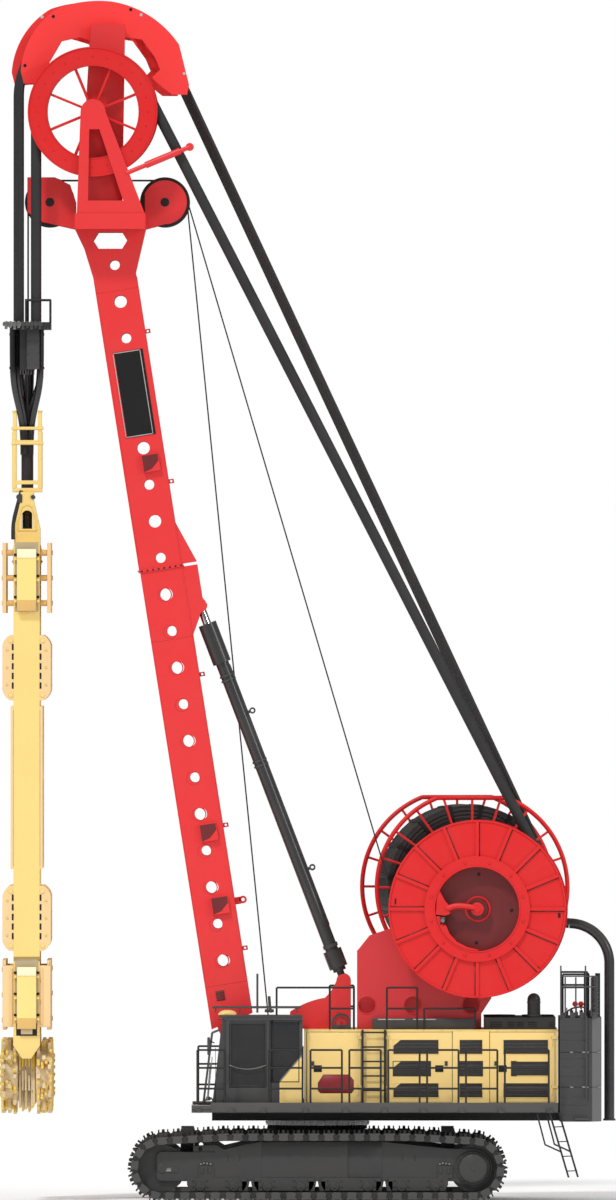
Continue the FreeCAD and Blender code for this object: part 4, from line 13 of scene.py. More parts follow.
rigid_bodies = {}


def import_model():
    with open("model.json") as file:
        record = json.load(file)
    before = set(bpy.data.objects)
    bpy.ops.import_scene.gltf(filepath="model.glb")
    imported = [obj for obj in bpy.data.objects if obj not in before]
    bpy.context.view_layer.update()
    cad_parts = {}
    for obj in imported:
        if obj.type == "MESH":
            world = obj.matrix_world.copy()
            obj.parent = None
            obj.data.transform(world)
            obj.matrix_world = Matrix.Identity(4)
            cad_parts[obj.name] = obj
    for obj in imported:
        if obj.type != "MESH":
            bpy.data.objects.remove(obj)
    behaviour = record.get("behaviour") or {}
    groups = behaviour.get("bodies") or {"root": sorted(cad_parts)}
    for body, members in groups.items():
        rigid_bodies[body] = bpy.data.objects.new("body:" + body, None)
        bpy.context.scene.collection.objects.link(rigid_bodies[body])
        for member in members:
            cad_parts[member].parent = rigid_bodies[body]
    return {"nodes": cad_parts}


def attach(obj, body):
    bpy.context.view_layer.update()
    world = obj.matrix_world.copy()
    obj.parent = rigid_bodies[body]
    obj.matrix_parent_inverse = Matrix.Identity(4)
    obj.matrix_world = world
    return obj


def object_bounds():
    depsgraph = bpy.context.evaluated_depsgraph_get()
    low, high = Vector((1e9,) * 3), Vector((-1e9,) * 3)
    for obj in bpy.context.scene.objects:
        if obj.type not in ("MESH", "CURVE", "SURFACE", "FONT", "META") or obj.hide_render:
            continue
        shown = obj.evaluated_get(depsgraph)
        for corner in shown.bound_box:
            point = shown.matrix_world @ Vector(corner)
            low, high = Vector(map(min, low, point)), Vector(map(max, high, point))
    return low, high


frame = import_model()
cad_low, cad_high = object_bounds()
print("frame", [round(v, 3) for v in (*cad_low, *cad_high)])

# %% [markdown]
# ## Camera
# The machine is 25 m tall, and the view of it is nearly without perspective. A real camera gives that
# from far away with a very long lens. An orthographic camera would do the same, but a perspective one
# keeps its natural look when it is moved.

# %% Camera
FAR = 560.0
VIEW_HEIGHT = 24.96
VIEW_MIDDLE = Vector((-0.032, 0.0, 12.48))
SENSOR = 36.0
bpy.ops.object.camera_add(location=VIEW_MIDDLE + Vector((0, -FAR, 0)), rotation=(math.pi / 2, 0, 0))
camera = bpy.context.object
camera.data.sensor_fit = "VERTICAL"
camera.data.sensor_height = SENSOR
camera.data.lens = SENSOR * FAR / VIEW_HEIGHT
camera.data.clip_end = FAR * 3
bpy.context.scene.camera = camera
bpy.context.scene.view_settings.view_transform = "Standard"
print("lens", round(camera.data.lens), "mm")

# %% [markdown]
# ## The hand moves
# Most pieces start as a primitive, are shaped in edit mode and end with a modifier. These few helpers
# hold the moves that come back every time: let go of everything, hold a piece, pick some of its faces,
# and press a modifier into the mesh.

# %% Hand moves
def let_go():
    if bpy.context.object and bpy.context.object.mode != "OBJECT":
        bpy.ops.object.mode_set(mode="OBJECT")
    bpy.ops.object.select_all(action="DESELECT")


def hold(*pieces):
    let_go()
    for piece in pieces:
        piece.select_set(True)
    bpy.context.view_layer.objects.active = pieces[0]


def settle(piece, place=None):
    """Press the object's place into its mesh, and then a further place if there is one."""
    hold(piece)
    bpy.ops.object.transform_apply(location=True, rotation=True, scale=True)
    if place is not None:
        piece.data.transform(place)
    return piece


def pick(piece, test=None):
    """Go into edit mode with the faces picked that pass a test on their normal."""
    hold(piece)
    bpy.ops.object.mode_set(mode="EDIT")
    bpy.ops.mesh.select_mode(type="FACE")
    bpy.ops.mesh.select_all(action="DESELECT" if test else "SELECT")
    if test:
        bpy.ops.object.mode_set(mode="OBJECT")
        for face in piece.data.polygons:
            face.select = test(face.normal)
        bpy.ops.object.mode_set(mode="EDIT")


def soften(piece, width):
    """Round the sharp edges with a bevel modifier, and press it in."""
    hold(piece)
    bevel = piece.modifiers.new("bevel", "BEVEL")
    bevel.width, bevel.segments = width, 2
    bevel.limit_method, bevel.angle_limit = "ANGLE", 0.6
    bpy.ops.object.modifier_apply(modifier=bevel.name)


def joined(pieces):
    if len(pieces) > 1:
        hold(*pieces)
        bpy.ops.object.join()
    return pieces[0]


# %% [markdown]
# ## Basic shapes
# A block, a bar, a flat plate cut to an outline, a turned part and a bent pipe make up nearly all of a
# machine's fittings. Each starts from one of Blender's primitives and is then shaped. Two kinds come back
# so often that they have their own names: a thin plate on one of the machine's sides, and a turned ring.

# %% Basic shapes
BORE = 0.002  # the smallest radius of a turned part that has no hole


def block(corner, opposite, edge=0.006, place=None):
    """A block between two opposite corners, with rounded edges."""
    low, high = zip(*(sorted(pair) for pair in zip(corner, opposite)))
    let_go()
    bpy.ops.mesh.primitive_cube_add(size=1, location=[(a + b) / 2 for a, b in zip(low, high)])
    piece = bpy.context.object
    piece.scale = [b - a for a, b in zip(low, high)]
    settle(piece)
    pick(piece)
    bpy.ops.mesh.bevel(offset=edge, segments=2, affect="EDGES")
    return settle(piece, place)


def about(middle, half):
    """The range that reaches as far to both sides of a middle."""
    return middle - half, middle + half


def span(start, length):
    return start, start + length


def plate(side, y, across, up, proud, edge=0.004, sunk=0.0, place=None):
    """A block over a range of x and of z that stands proud of the face at y, on side -1 or 1."""
    return block((across[0], side * (y - sunk), up[0]), (across[1], side * (y + proud), up[1]), edge, place)


def bar(start, end, radius, sides=12, place=None):
    """A round bar with its two ends chamfered."""
    start, end = Vector(start), Vector(end)
    let_go()
    bpy.ops.mesh.primitive_cylinder_add(vertices=sides, radius=radius, depth=(end - start).length,
                                        location=(start + end) / 2,
                                        rotation=(end - start).to_track_quat("Z", "Y").to_euler())
    piece = settle(bpy.context.object)
    along = (end - start).normalized()
    pick(piece, lambda normal: abs(normal.dot(along)) > 0.9)
    bpy.ops.mesh.inset(thickness=radius * 0.15)
    bpy.ops.mesh.select_more()
    return settle(piece, place)


def cutout(outline, depth, edge=0.0, place=None):
    """A plate of an outline in the XZ plane, extruded along +Y."""
    let_go()
    bpy.ops.mesh.primitive_circle_add(vertices=len(outline), fill_type="NGON")
    piece = settle(bpy.context.object)
    for point, (x, z) in zip(piece.data.vertices, outline):
        point.co = (x, 0, z)
    pick(piece)
    bpy.ops.mesh.extrude_region_move(TRANSFORM_OT_translate={"value": (0, depth, 0)})
    bpy.ops.mesh.select_all(action="SELECT")
    bpy.ops.mesh.normals_make_consistent(inside=False)
    if edge:
        soften(piece, edge)
    return settle(piece, place)


def turned(section, steps=32, place=None):
    """A closed section of (radius, height) spun about the Z axis."""
    let_go()
    bpy.ops.mesh.primitive_circle_add(vertices=len(section))
    piece = settle(bpy.context.object)
    for point, (radius, height) in zip(piece.data.vertices, section):
        point.co = (radius, 0, height)
    bpy.ops.object.mode_set(mode="EDIT")
    bpy.ops.mesh.select_all(action="SELECT")
    bpy.ops.mesh.spin(steps=steps, angle=math.tau, center=(0, 0, 0), axis=(0, 0, 1))
    bpy.ops.mesh.select_all(action="SELECT")
    bpy.ops.mesh.remove_doubles(threshold=0.0002)
    bpy.ops.mesh.normals_make_consistent(inside=False)
    return settle(piece, place)


def ring(inner, outer, low, high, steps, place=None, top=None):
    """A turned ring between two heights. Its outside can narrow to another radius at the top."""
    return turned([(inner, low), (outer, low), (top or outer, high), (inner, high)], steps, place)


def pipe(points, radius, sides=8, smooth=False, place=None):
    """A pipe along points, straight between them or on one smooth curve."""
    let_go()
    bpy.ops.curve.primitive_nurbs_path_add()
    piece = bpy.context.object
    curve = piece.data
    curve.splines.clear()
    line = curve.splines.new("NURBS" if smooth else "POLY")
    line.points.add(len(points) - 1)
    for spot, point in zip(line.points, points):
        spot.co = (*point, 1)
    if smooth:
        line.order_u, line.use_endpoint_u, line.resolution_u = 4, True, 6
    curve.bevel_depth, curve.bevel_resolution, curve.use_fill_caps = radius, max(sides // 4 - 1, 0), True
    hold(piece)
    bpy.ops.object.convert(target="MESH")
    return settle(bpy.context.object, place)


# %% [markdown]
# ## Copies and the last touch
# What repeats is modelled once. Its copies each get their own mesh and are joined into one piece. The
# last touch names the piece, gives it its finish and lets it ride on the body that carries it.

# %% Copies and the last touch
def at(x, y, z):
    return Matrix.Translation((x, y, z))


def twist(degrees, axis):
    return Matrix.Rotation(math.radians(degrees), 4, axis)


OUT = {-1: twist(90, "X"), 1: twist(-90, "X")}  # what points up turns to the near side or the far side
ENDS = {-1: twist(-90, "Y"), 1: twist(90, "Y")}  # or to the front or the rear
NEAR, FAR_SIDE, UP = OUT[-1], OUT[1], Matrix.Identity(4)


def copies(piece, places):
    made = []
    for place in places:
        twin = piece.copy()
        twin.data = piece.data.copy()
        twin.data.transform(place)
        bpy.context.collection.objects.link(twin)
        made.append(twin)
    bpy.data.objects.remove(piece)
    return joined(made)


def circle_of(count, radius, axis="Y", first=0.0):
    """Places on a circle about an axis through the origin, each turned outwards."""
    out = at(radius, 0, 0) if axis == "Z" else at(0, 0, radius)
    return [twist(first + 360.0 * k / count, axis) @ out for k in range(count)]


def bolts(places, size, turn=NEAR):
    """Hexagon heads on their washers, all facing one way."""
    washer = ring(BORE, size * 0.95, 0, size * 0.12, 12)
    let_go()
    bpy.ops.mesh.primitive_cylinder_add(vertices=6, radius=size * 0.8, depth=size * 0.6,
                                        location=(0, 0, size * 0.4))
    head = settle(bpy.context.object)
    pick(head, lambda normal: normal.z > 0.9)
    bpy.ops.mesh.inset(thickness=size * 0.12)
    bpy.ops.transform.translate(value=(0, 0, size * 0.06))
    return copies(settle(joined([settle(head), washer]), turn), places)


def bolt_circle(middle, count, radius, size, turn=NEAR, axis="Y", first=0.0):
    return bolts([middle @ spot for spot in circle_of(count, radius, axis, first)], size, turn)


def finish_piece(name, parts, finish, body):
    piece = joined(list(parts))
    piece.name = piece.data.name = name
    piece.data.materials.clear()
    piece.data.materials.append(finish)
    hold(piece)
    bpy.ops.object.shade_smooth_by_angle(angle=0.6)
    let_go()
    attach(piece, body)
    print(name, len(piece.data.polygons), "faces")


# %% [markdown]
# ## Effects that many finishes share
# Paint wears first on its edges, dust settles on what faces up, and sprayed paint has a faint orange
# peel. Each effect is a node group with named inputs, built once and used with other values in every
# finish. A texture painted by hand would look as good but only fit one piece.

# %% Node helpers
def tone(red, green, blue):
    """A colour from 0 to 255 as it is seen, made linear for the shader."""
    return tuple(((c / 255 + 0.055) / 1.055) ** 2.4 if c > 10 else c / 255 / 12.92
                 for c in (red, green, blue)) + (1.0,)


def darker(colour, share):
    return tuple(c * share for c in colour[:3]) + (1.0,)


def wire(tree, made, **inputs):
    """Set or link a node's inputs, each by its name or by its number."""
    for name, value in inputs.items():
        slot = made.inputs[int(name[1:]) if name[1:].isdigit() else name.replace("_", " ")]
        if isinstance(value, bpy.types.NodeSocket):
            tree.links.new(value, slot)
        else:
            slot.default_value = value
    return made


def node(tree, kind, how=None, **inputs):
    """Add a node, set how it works, and set or link its inputs."""
    made = tree.nodes.new("ShaderNode" + kind)
    for name, value in (how or {}).items():
        setattr(made, name, value)
    return wire(tree, made, **inputs)


def calc(tree, operation, a, b=0.5, clamp=False):
    how = {"operation": operation, "use_clamp": clamp}
    return node(tree, "Math", how, _0=a, _1=b).outputs[0]


def times(tree, a, b, clamp=False):
    return calc(tree, "MULTIPLY", a, b, clamp)


def object_spot(tree):
    return node(tree, "TexCoord").outputs["Object"]


def part_of(tree, vector, axis):
    return node(tree, "SeparateXYZ", Vector=vector).outputs[axis]


def blendin(tree, share, under, over):
    """Lay one colour over another by a share."""
    return node(tree, "Mix", {"data_type": "RGBA"}, _0=share, _6=under, _7=over).outputs[2]


def new_group(name, inputs, outputs):
    tree = bpy.data.node_groups.new(name, "ShaderNodeTree")
    for label, value in inputs.items():
        kind = "NodeSocketVector" if isinstance(value, tuple) else "NodeSocketFloat"
        tree.interface.new_socket(label, in_out="INPUT", socket_type=kind).default_value = value
    for label, kind in outputs.items():
        tree.interface.new_socket(label, in_out="OUTPUT", socket_type="NodeSocket" + kind)
    return tree, tree.nodes.new("NodeGroupInput").outputs, tree.nodes.new("NodeGroupOutput").inputs


def use(tree, name, **inputs):
    made = tree.nodes.new("ShaderNodeGroup")
    made.node_tree = bpy.data.node_groups[name]
    return wire(tree, made, **inputs).outputs


# %% Worn edges
tree, given, out = new_group("worn edges", {"Width": 0.01, "Amount": 0.5},
                             {"Mask": "Float", "Normal": "Vector"})
rounded = node(tree, "Bevel", {"samples": 4}, Radius=given["Width"]).outputs[0]
flat = node(tree, "NewGeometry").outputs["Normal"]
turn = node(tree, "VectorMath", {"operation": "DOT_PRODUCT"}, _0=rounded, _1=flat).outputs["Value"]
spots = node(tree, "TexNoise", Vector=object_spot(tree), Scale=9.0, Detail=4.0, Roughness=0.7).outputs[0]
edge = times(tree, calc(tree, "SUBTRACT", 1.0, turn), 5.0, True)
chips = times(tree, calc(tree, "SUBTRACT", spots, 0.5), 7.0, True)
tree.links.new(times(tree, times(tree, edge, chips), given["Amount"], True), out["Mask"])
tree.links.new(rounded, out["Normal"])

# %% Settled dust
tree, given, out = new_group("settled dust", {"Scale": 1.2, "Amount": 0.3}, {"Mask": "Float"})
spot = object_spot(tree)
cloud = node(tree, "TexNoise", Vector=spot, Scale=given["Scale"], Detail=6.0, Roughness=0.65).outputs[0]
facing_up = part_of(tree, node(tree, "NewGeometry").outputs["Normal"], "Z")
low_down = calc(tree, "SUBTRACT", 0.55, times(tree, part_of(tree, spot, "Z"), 0.14), True)
lying = calc(tree, "ADD", times(tree, facing_up, 0.7, True), calc(tree, "ADD", low_down, 0.12))
patches = times(tree, calc(tree, "SUBTRACT", cloud, 0.38), 3.0, True)
tree.links.new(times(tree, times(tree, patches, lying), given["Amount"], True), out["Mask"])

# %% Surface grain
tree, given, out = new_group("surface grain", {"Scale": 60.0, "Coarse": 0.3},
                             {"Height": "Float", "Cloud": "Float"})
spot = object_spot(tree)
fine = node(tree, "TexNoise", Vector=spot, Scale=given["Scale"], Detail=2.0).outputs[0]
pits = node(tree, "TexVoronoi", Vector=spot, Scale=given["Scale"]).outputs["Distance"]
grain = node(tree, "Mix", {"data_type": "FLOAT"}, _0=given["Coarse"], _2=fine, _3=pits).outputs[0]
tree.links.new(grain, out["Height"])
tree.links.new(node(tree, "TexNoise", Vector=spot, Scale=0.7, Detail=3.0).outputs[0], out["Cloud"])

# %% Inside a box
tree, given, out = new_group("inside a box", {"Low": (0.0, 0.0, 0.0), "High": (1.0, 1.0, 1.0)},
                             {"Mask": "Float"})
spot = object_spot(tree)
sides = []
for axis in "XYZ":
    here = part_of(tree, spot, axis)
    sides.append(times(tree, calc(tree, "GREATER_THAN", here, part_of(tree, given["Low"], axis)),
                       calc(tree, "LESS_THAN", here, part_of(tree, given["High"], axis))))
tree.links.new(times(tree, times(tree, sides[0], sides[1]), sides[2]), out["Mask"])
print("groups", [g.name for g in bpy.data.node_groups])

# %% [markdown]
# ## Finishes
# One recipe mixes every painted, cast and rubber finish: a base tone that drifts slightly, other tones
# inside given boxes, bare or darker metal on the edges, and dust. Only the numbers differ.

# %% The finish recipe
DUST, WORN_WIDTH = tone(150, 140, 126), 0.012


def new_finish(name):
    made = bpy.data.materials.new(name)
    made.use_nodes = True
    return made, made.node_tree, made.node_tree.nodes["Principled BSDF"]


def finish_of(name, colour, rough=0.4, metal=0.0, coat=0.0, wear=0.35, worn=None, dust=0.25, drift=0.12,
              grain=80.0, coarse=0.2, bump=0.0006, boxes=()):
    made, tree, shader = new_finish(name)
    grains = use(tree, "surface grain", Scale=grain, Coarse=coarse)
    worn_edges = use(tree, "worn edges", Width=WORN_WIDTH, Amount=wear)
    dusty = use(tree, "settled dust", Amount=dust)["Mask"]
    shade = blendin(tree, times(tree, grains["Cloud"], 0.6, True), colour, darker(colour, 1 - drift * 2))
    for low, high, other in boxes:
        shade = blendin(tree, use(tree, "inside a box", Low=low, High=high)["Mask"], shade, other)
    shade = blendin(tree, worn_edges["Mask"], shade, worn or darker(colour, 0.55))
    shade = blendin(tree, dusty, shade, DUST)
    roughness = calc(tree, "ADD", times(tree, grains["Cloud"], 0.15),
                     calc(tree, "ADD", times(tree, dusty, 0.3), rough - 0.07))
    relief = node(tree, "Bump", Strength=1.0, Distance=bump, Height=grains["Height"],
                  Normal=worn_edges["Normal"])
    wire(tree, shader, Base_Color=shade, Roughness=roughness, Metallic=metal, Coat_Weight=coat,
         Coat_Roughness=0.2, Normal=relief.outputs[0])
    return made


def dress(finish, *names):
    for name in names:
        holder = frame["nodes"][name]
        if not holder.material_slots:
            holder.data.materials.append(finish)
        for slot in holder.material_slots:
            slot.material = finish


# %% [markdown]
# ## Paints, rubber and steel
# The vents are only dark fields in the house's own paint, so their places are given first: three rows in
# three bays, with the middle row cut short beside a latch.

# %% Places of the vents
HOUSE_Y, HOUSE_LOW, HOUSE_HIGH = 1.6, 2.03, 3.55
VENT_ROWS = [(2.165, 2.455), (2.615, 2.905), (3.065, 3.355)]
VENT_BAYS = {("upper", "house_shell"): (3.114, 3.583, 0.0, 0.0),
             ("door_middle", "house_door_middle"): (1.741, 2.674, 0.0, 0.17),
             ("door_rear", "house_door_rear"): (4.023, 4.946, 0.17, 0.0)}


def vents_in(left, right, short_left, short_right):
    """Left, right, low and high of the three vents in a bay."""
    return [(left + short_left * (row == 1), right - short_right * (row == 1), low, high)
            for row, (low, high) in enumerate(VENT_ROWS)]


# %% [markdown]
# The mast, the drums and the wheel wear close reds, the cutter and the engine house a cream yellow, and
# the cab and the counterweight a charcoal. Looks that several paints share have their own names.

# %% Paints
CREAM, CUTTER_YELLOW, DRUM_RED = tone(255, 220, 138), tone(253, 220, 132), tone(222, 4, 10)
PRIMER, VENT_TONE = tone(120, 70, 60), tone(62, 60, 58)
# AXLE_SHADE darkens the mud drum's face inside its hub ring: painted shade in the hub.
AXLE_SHADE = ((3.268, -1.835, 5.842), (3.728, -1.5, 6.302), tone(92, 24, 28))
LATCH_SPOT = ((-0.2, -1.70, 2.60), (4.3, -1.601, 2.95), VENT_TONE)
VENT_SPOTS = [((left, -1.70, low), (right, -1.50, high), VENT_TONE)
              for bay in VENT_BAYS.values() for left, right, low, high in vents_in(*bay)]
cutter_wear = {"worn": tone(150, 130, 96), "wear": 0.5}
drum_look = {"worn": PRIMER, "wear": 0.3, "drift": 0.08}
cream_look = {"coat": 0.12, "dust": 0.1, "drift": 0.06}

mast_paint = finish_of("mast paint", tone(234, 42, 45), 0.45, coat=0.06, **drum_look)
drum_paint = finish_of("drum paint", DRUM_RED, 0.5, **drum_look)
mud_drum_paint = finish_of("mud drum paint", DRUM_RED, 0.5, boxes=[AXLE_SHADE], **drum_look)
stand_paint = finish_of("stand paint", tone(226, 46, 52), 0.4, coat=0.2, worn=PRIMER, wear=0.3)
arch_paint = finish_of("arch paint", tone(255, 50, 50), 0.45, coat=0.06, worn=PRIMER, wear=0.25, drift=0.06)
dark_paint = finish_of("shaded red paint", tone(116, 26, 30), 0.45, coat=0.1, worn=PRIMER)
plate_paint = finish_of("blank plate paint", tone(150, 26, 36), coat=0.1)
cream_paint = finish_of("house paint", CREAM, worn=tone(160, 138, 92), wear=0.25,
                        boxes=VENT_SPOTS + [LATCH_SPOT], **cream_look)
plain_cream = finish_of("cream trim paint", CREAM, **cream_look)
cutter_paint = finish_of("cutter paint", CUTTER_YELLOW, 0.42, coat=0.15, **cutter_wear)
column_paint = finish_of("column paint", CUTTER_YELLOW, 0.42, coat=0.15, **cutter_wear,
                         boxes=[((-7.0, -2.0, 0.0), (-5.0, 2.0, 3.45), tone(186, 164, 122))])
guide_paint = finish_of("guide paint", tone(250, 212, 152), 0.42, coat=0.1, worn=tone(150, 120, 84), wear=0.6,
                        boxes=[((-7.0, -2.0, 0.0), (-5.0, -1.52, 20.0), CUTTER_YELLOW)])
orange_paint = finish_of("flap paint", tone(232, 186, 108), 0.42, worn=tone(140, 110, 70))
pale_yellow = finish_of("flap edge paint", tone(255, 248, 206), worn=tone(170, 150, 110))
web_paint = finish_of("side plate paint", tone(252, 214, 154), 0.45, worn=tone(150, 120, 84), wear=0.6)
olive_paint = finish_of("shaded yellow paint", tone(176, 144, 76), 0.5)
# A beige darker than the column, which stands for the shade in the flap recesses: painted shade.
recess_shade_paint = finish_of("painted recess shade", tone(186, 168, 132), 0.55, worn=tone(120, 104, 80), dust=0.4)
border_paint = finish_of("pale border paint", tone(196, 194, 190), 0.5, wear=0.2)
grille_paint = finish_of("grille paint", tone(74, 72, 70), 0.5, wear=0.2)
charcoal_paint = finish_of("charcoal paint", tone(66, 66, 67), 0.46, coat=0.15, worn=tone(120, 120, 120),
                           wear=0.3)
black_paint = finish_of("black paint", tone(9, 9, 10), 0.55, worn=tone(60, 60, 60), wear=0.2, dust=0.08)
rail_paint = finish_of("rail paint", tone(34, 34, 35), 0.5, worn=tone(90, 90, 90), wear=0.2, dust=0.05)
band_paint = finish_of("walkway band paint", tone(76, 76, 75), 0.5, worn=tone(130, 130, 130), dust=0.1)
cooler_paint = finish_of("cooler paint", tone(50, 50, 51), 0.42, coat=0.2)
barrel_paint = finish_of("barrel paint", tone(48, 48, 49), coat=0.3)
pipe_paint = finish_of("pipe paint", tone(44, 44, 46), 0.35, coat=0.4)
frame_paint = finish_of("track frame paint", tone(58, 58, 58), 0.5, worn=tone(100, 100, 100), dust=0.05)

# %% [markdown]
# Cast iron is pitted, the tracks shine where they rub, and a chromed rod is nearly a mirror. Rubber is
# matt with a fine grain, and the seat wears a woven cloth.

# %% Metals, rubber and cloth
# The box paints the counterweight's rear chamfer (x above 5.86) a lighter grey: a painted highlight of light
# falling from the rear.
cast_iron = finish_of("cast counterweight", tone(62, 62, 63), 0.6, dust=0.12, bump=0.002, grain=45.0,
                      coarse=0.6, boxes=[((5.86, -3.0, 0.0), (7.0, 3.0, 9.0), tone(104, 104, 105))])
track_dark = finish_of("shoe steel", tone(36, 36, 36), 0.55, metal=0.2, worn=tone(110, 110, 110), wear=0.5,
                       dust=0.12, bump=0.0015)
link_steel = finish_of("link steel", tone(74, 74, 74), 0.5, metal=0.2, worn=tone(150, 150, 150), wear=0.5,
                       dust=0.1)
plain_steel = finish_of("bright steel", tone(168, 168, 166), 0.32, metal=0.9, worn=tone(90, 88, 84),
                        dust=0.15)
dark_steel = finish_of("oiled steel", tone(58, 57, 56), 0.42, metal=0.6, worn=tone(130, 128, 124))
chrome = finish_of("chromed rod", tone(214, 216, 220), 0.14, metal=1.0, wear=0.0, dust=0.05, bump=0.0001)
tooth_steel = finish_of("cutter tooth steel", tone(250, 212, 112), 0.42, worn=tone(255, 236, 170),
                        wear=0.9, drift=0.3, bump=0.003, grain=30.0, coarse=0.6)
core_steel = finish_of("cutter drum steel", tone(246, 222, 176), 0.5, worn=tone(130, 118, 96),
                       wear=0.6, dust=0.3, drift=0.35, bump=0.003, grain=20.0, coarse=0.6)
carbide = finish_of("carbide tips", tone(255, 214, 72), 0.3, metal=0.1, worn=tone(255, 246, 214), wear=0.8)
# The slewing ring is painted near white so that it still looks lit in the shadow under the platform: painted
# light.
ring_painted_light = finish_of("slewing ring steel painted light", tone(250, 250, 250), 0.5, dust=0.1, wear=0.1)
deck_plate = finish_of("deck plate", tone(72, 72, 73), 0.6, metal=0.1, bump=0.003, grain=26.0, coarse=0.9,
                       dust=0.5)
rubber = finish_of("hose rubber", tone(40, 40, 42), 0.52, coat=0.15, wear=0.1, dust=0.3, bump=0.0004)
black_hose = finish_of("polished hose rubber", tone(26, 26, 30), 0.34, coat=0.5, wear=0.0, dust=0.1,
                       bump=0.0003)
hose_set = finish_of("hose set", tone(42, 42, 43), 0.65, wear=0.1, dust=0.2,
                     boxes=[((-9.0, -3.0, 0.0), (9.0, -0.8, 30.0), tone(40, 40, 42))])
seat_cloth = finish_of("seat cloth", tone(52, 54, 58), 0.85, wear=0.0, dust=0.1, bump=0.0015, grain=220.0)

# %% [markdown]
# The cab's glass is tinted nearly black. Its transmission and coat are plain values on the shader.

# %% Glass
tinted_glass, tree, shader = new_finish("tinted glass")
streaks = use(tree, "settled dust", Amount=0.2, Scale=2.0)["Mask"]
wire(tree, shader, Base_Color=blendin(tree, streaks, tone(52, 53, 55), DUST), Transmission_Weight=0.25,
     Roughness=calc(tree, "ADD", times(tree, streaks, 0.4), 0.05), Coat_Weight=0.4)

# %% [markdown]
# ## Dress the frame
# The CAD nodes keep their shapes and only change their finish.

# %% Dress the frame
dress(mast_paint, "mast_lower", "mast_upper", "mast_head", "pivot_brackets", "hose_stand", "winches")
dress(arch_paint, "arch_guide")
dress(drum_paint, "hose_wheel", "hose_drum")
dress(mud_drum_paint, "mud_drum")
dress(stand_paint, "drum_stands")
dress(cream_paint, "house_shell", "house_door_front", "house_door_middle", "house_door_rear")
dress(cutter_paint, "cutter_head")
dress(column_paint, "cutter_column")
dress(guide_paint, "cutter_guides")
dress(charcoal_paint, "cab_shell", "cab_door", "fuel_tank")
dress(rail_paint, "handrails", "ladders")
dress(cooler_paint, "roof_unit")
dress(deck_plate, "walkways")
# The platform's near black is partly its own dark paint and partly painted shade under the walkways.
dress(black_paint, "platform", "engine_block", "sign_plate")
dress(cast_iron, "counterweight")
dress(track_dark, "track_left", "track_right")
dress(frame_paint, "track_frame_left", "track_frame_right", "track_wheels_left", "track_wheels_right",
      "carbody")
# The ring's near white is painted light.
dress(ring_painted_light, "slew_ring")
dress(barrel_paint, "luff_barrels")
dress(chrome, "luff_rods")
dress(rubber, "mud_winding", "hose_bundle", "hose_winding")
dress(hose_set, "front_lines", "head_lines", "rear_lines")
dress(dark_steel, "front_sheaves", "rear_sheaves")
dress(pipe_paint, "slurry_pipe")
dress(core_steel, "cutting_wheels_near", "cutting_wheels_far")
dress(tinted_glass, "cab_glass", "cab_door_glass")
dress(seat_cloth, "cab_seat")
print("dressed", sum(bool(n.material_slots) for n in frame["nodes"].values()), "nodes")

# %% [markdown]
# ## Floor and light
# The stage is a pale floor under a white sky. The sky is white only for the camera. It is dimmer in
# reflections, so dark paint stays dark, and lights the machine at a plain level. A soft sun from the
# near side gives the shapes their shade, and a weaker one fills the shadows.

# %% Floor and light
bpy.ops.mesh.primitive_plane_add(size=90, location=(0, 0, cad_low.z))
floor = settle(bpy.context.object)
floor.name = "floor"
floor_finish, tree, shader = new_finish("pale floor")
speck = node(tree, "TexNoise", Vector=object_spot(tree), Scale=0.4).outputs[0]
wire(tree, shader, Base_Color=blendin(tree, speck, tone(255, 255, 255), tone(251, 251, 251)), Roughness=0.9)
floor.data.materials.append(floor_finish)

SKY_LIGHT, GLOSSY_LOSS = 0.74, 0.5
sky = bpy.context.scene.world or bpy.data.worlds.new("white sky")
bpy.context.scene.world = sky
sky.use_nodes = True
tree = sky.node_tree
tree.nodes.clear()
ray = node(tree, "LightPath").outputs
seen = calc(tree, "MAXIMUM", ray["Is Camera Ray"], ray["Is Transmission Ray"])
level = calc(tree, "ADD", times(tree, seen, 1 - SKY_LIGHT), SKY_LIGHT)
level = calc(tree, "SUBTRACT", level, times(tree, ray["Is Glossy Ray"], GLOSSY_LOSS))
light = node(tree, "Background", Color=(1, 1, 1, 1), Strength=level)
tree.links.new(light.outputs[0], tree.nodes.new("ShaderNodeOutputWorld").inputs[0])
for name, strength, heading in (("sun", 1.35, (0.70, 0.0, -0.5)), ("fill sun", 0.42, (1.25, 0.0, 0.9))):
    bpy.ops.object.light_add(type="SUN", rotation=heading)
    lamp = bpy.context.object
    lamp.name, lamp.data.energy, lamp.data.angle = name, strength, 0.12
print("floor at", round(cad_low.z, 3))

# %% [markdown]
# ## Crawler tracks
# A track is one fixed loop here. Its outline already has one bar on each shoe. The two outer bars of
# every shoe, the link plates on its flanks and the pin caps are added by walking along the loop. The
# walk gives a place and a heading at each shoe, so one bar and one link are enough to model.

# %% The walk along a track
TRACK_X, AXLE_Z, HALF_BASE, WHEEL, HUMP, RISE = 0.166, 0.71, 3.22, 0.49, 1.9, 0.08
TRACK_Y, FRAME_Y = 2.195, 2.195 + 0.23
SHOES, SHOE_PITCH, SHOE_REACH = 54, 0.315, 0.16
TRACKS = ((-1, "left"), (1, "right"))


def loop_run(offset):
    """Points of the loop at a distance outside the wheels, close together, in travel order."""
    radius = WHEEL + offset
    slope = math.atan2(RISE, HALF_BASE - HUMP)
    rim = [(HALF_BASE + radius * math.cos(a), AXLE_Z + radius * math.sin(a))
           for a in [math.radians(-90 + k * (180 - math.degrees(slope)) / 48) for k in range(49)]]
    crest = HUMP + radius * math.tan(slope / 2)
    over = [(crest, AXLE_Z + radius + RISE), (-crest, AXLE_Z + radius + RISE)]
    back = [(-x, z) for x, z in reversed(rim)]
    return [(-HALF_BASE, AXLE_Z - radius)] + rim + over + back


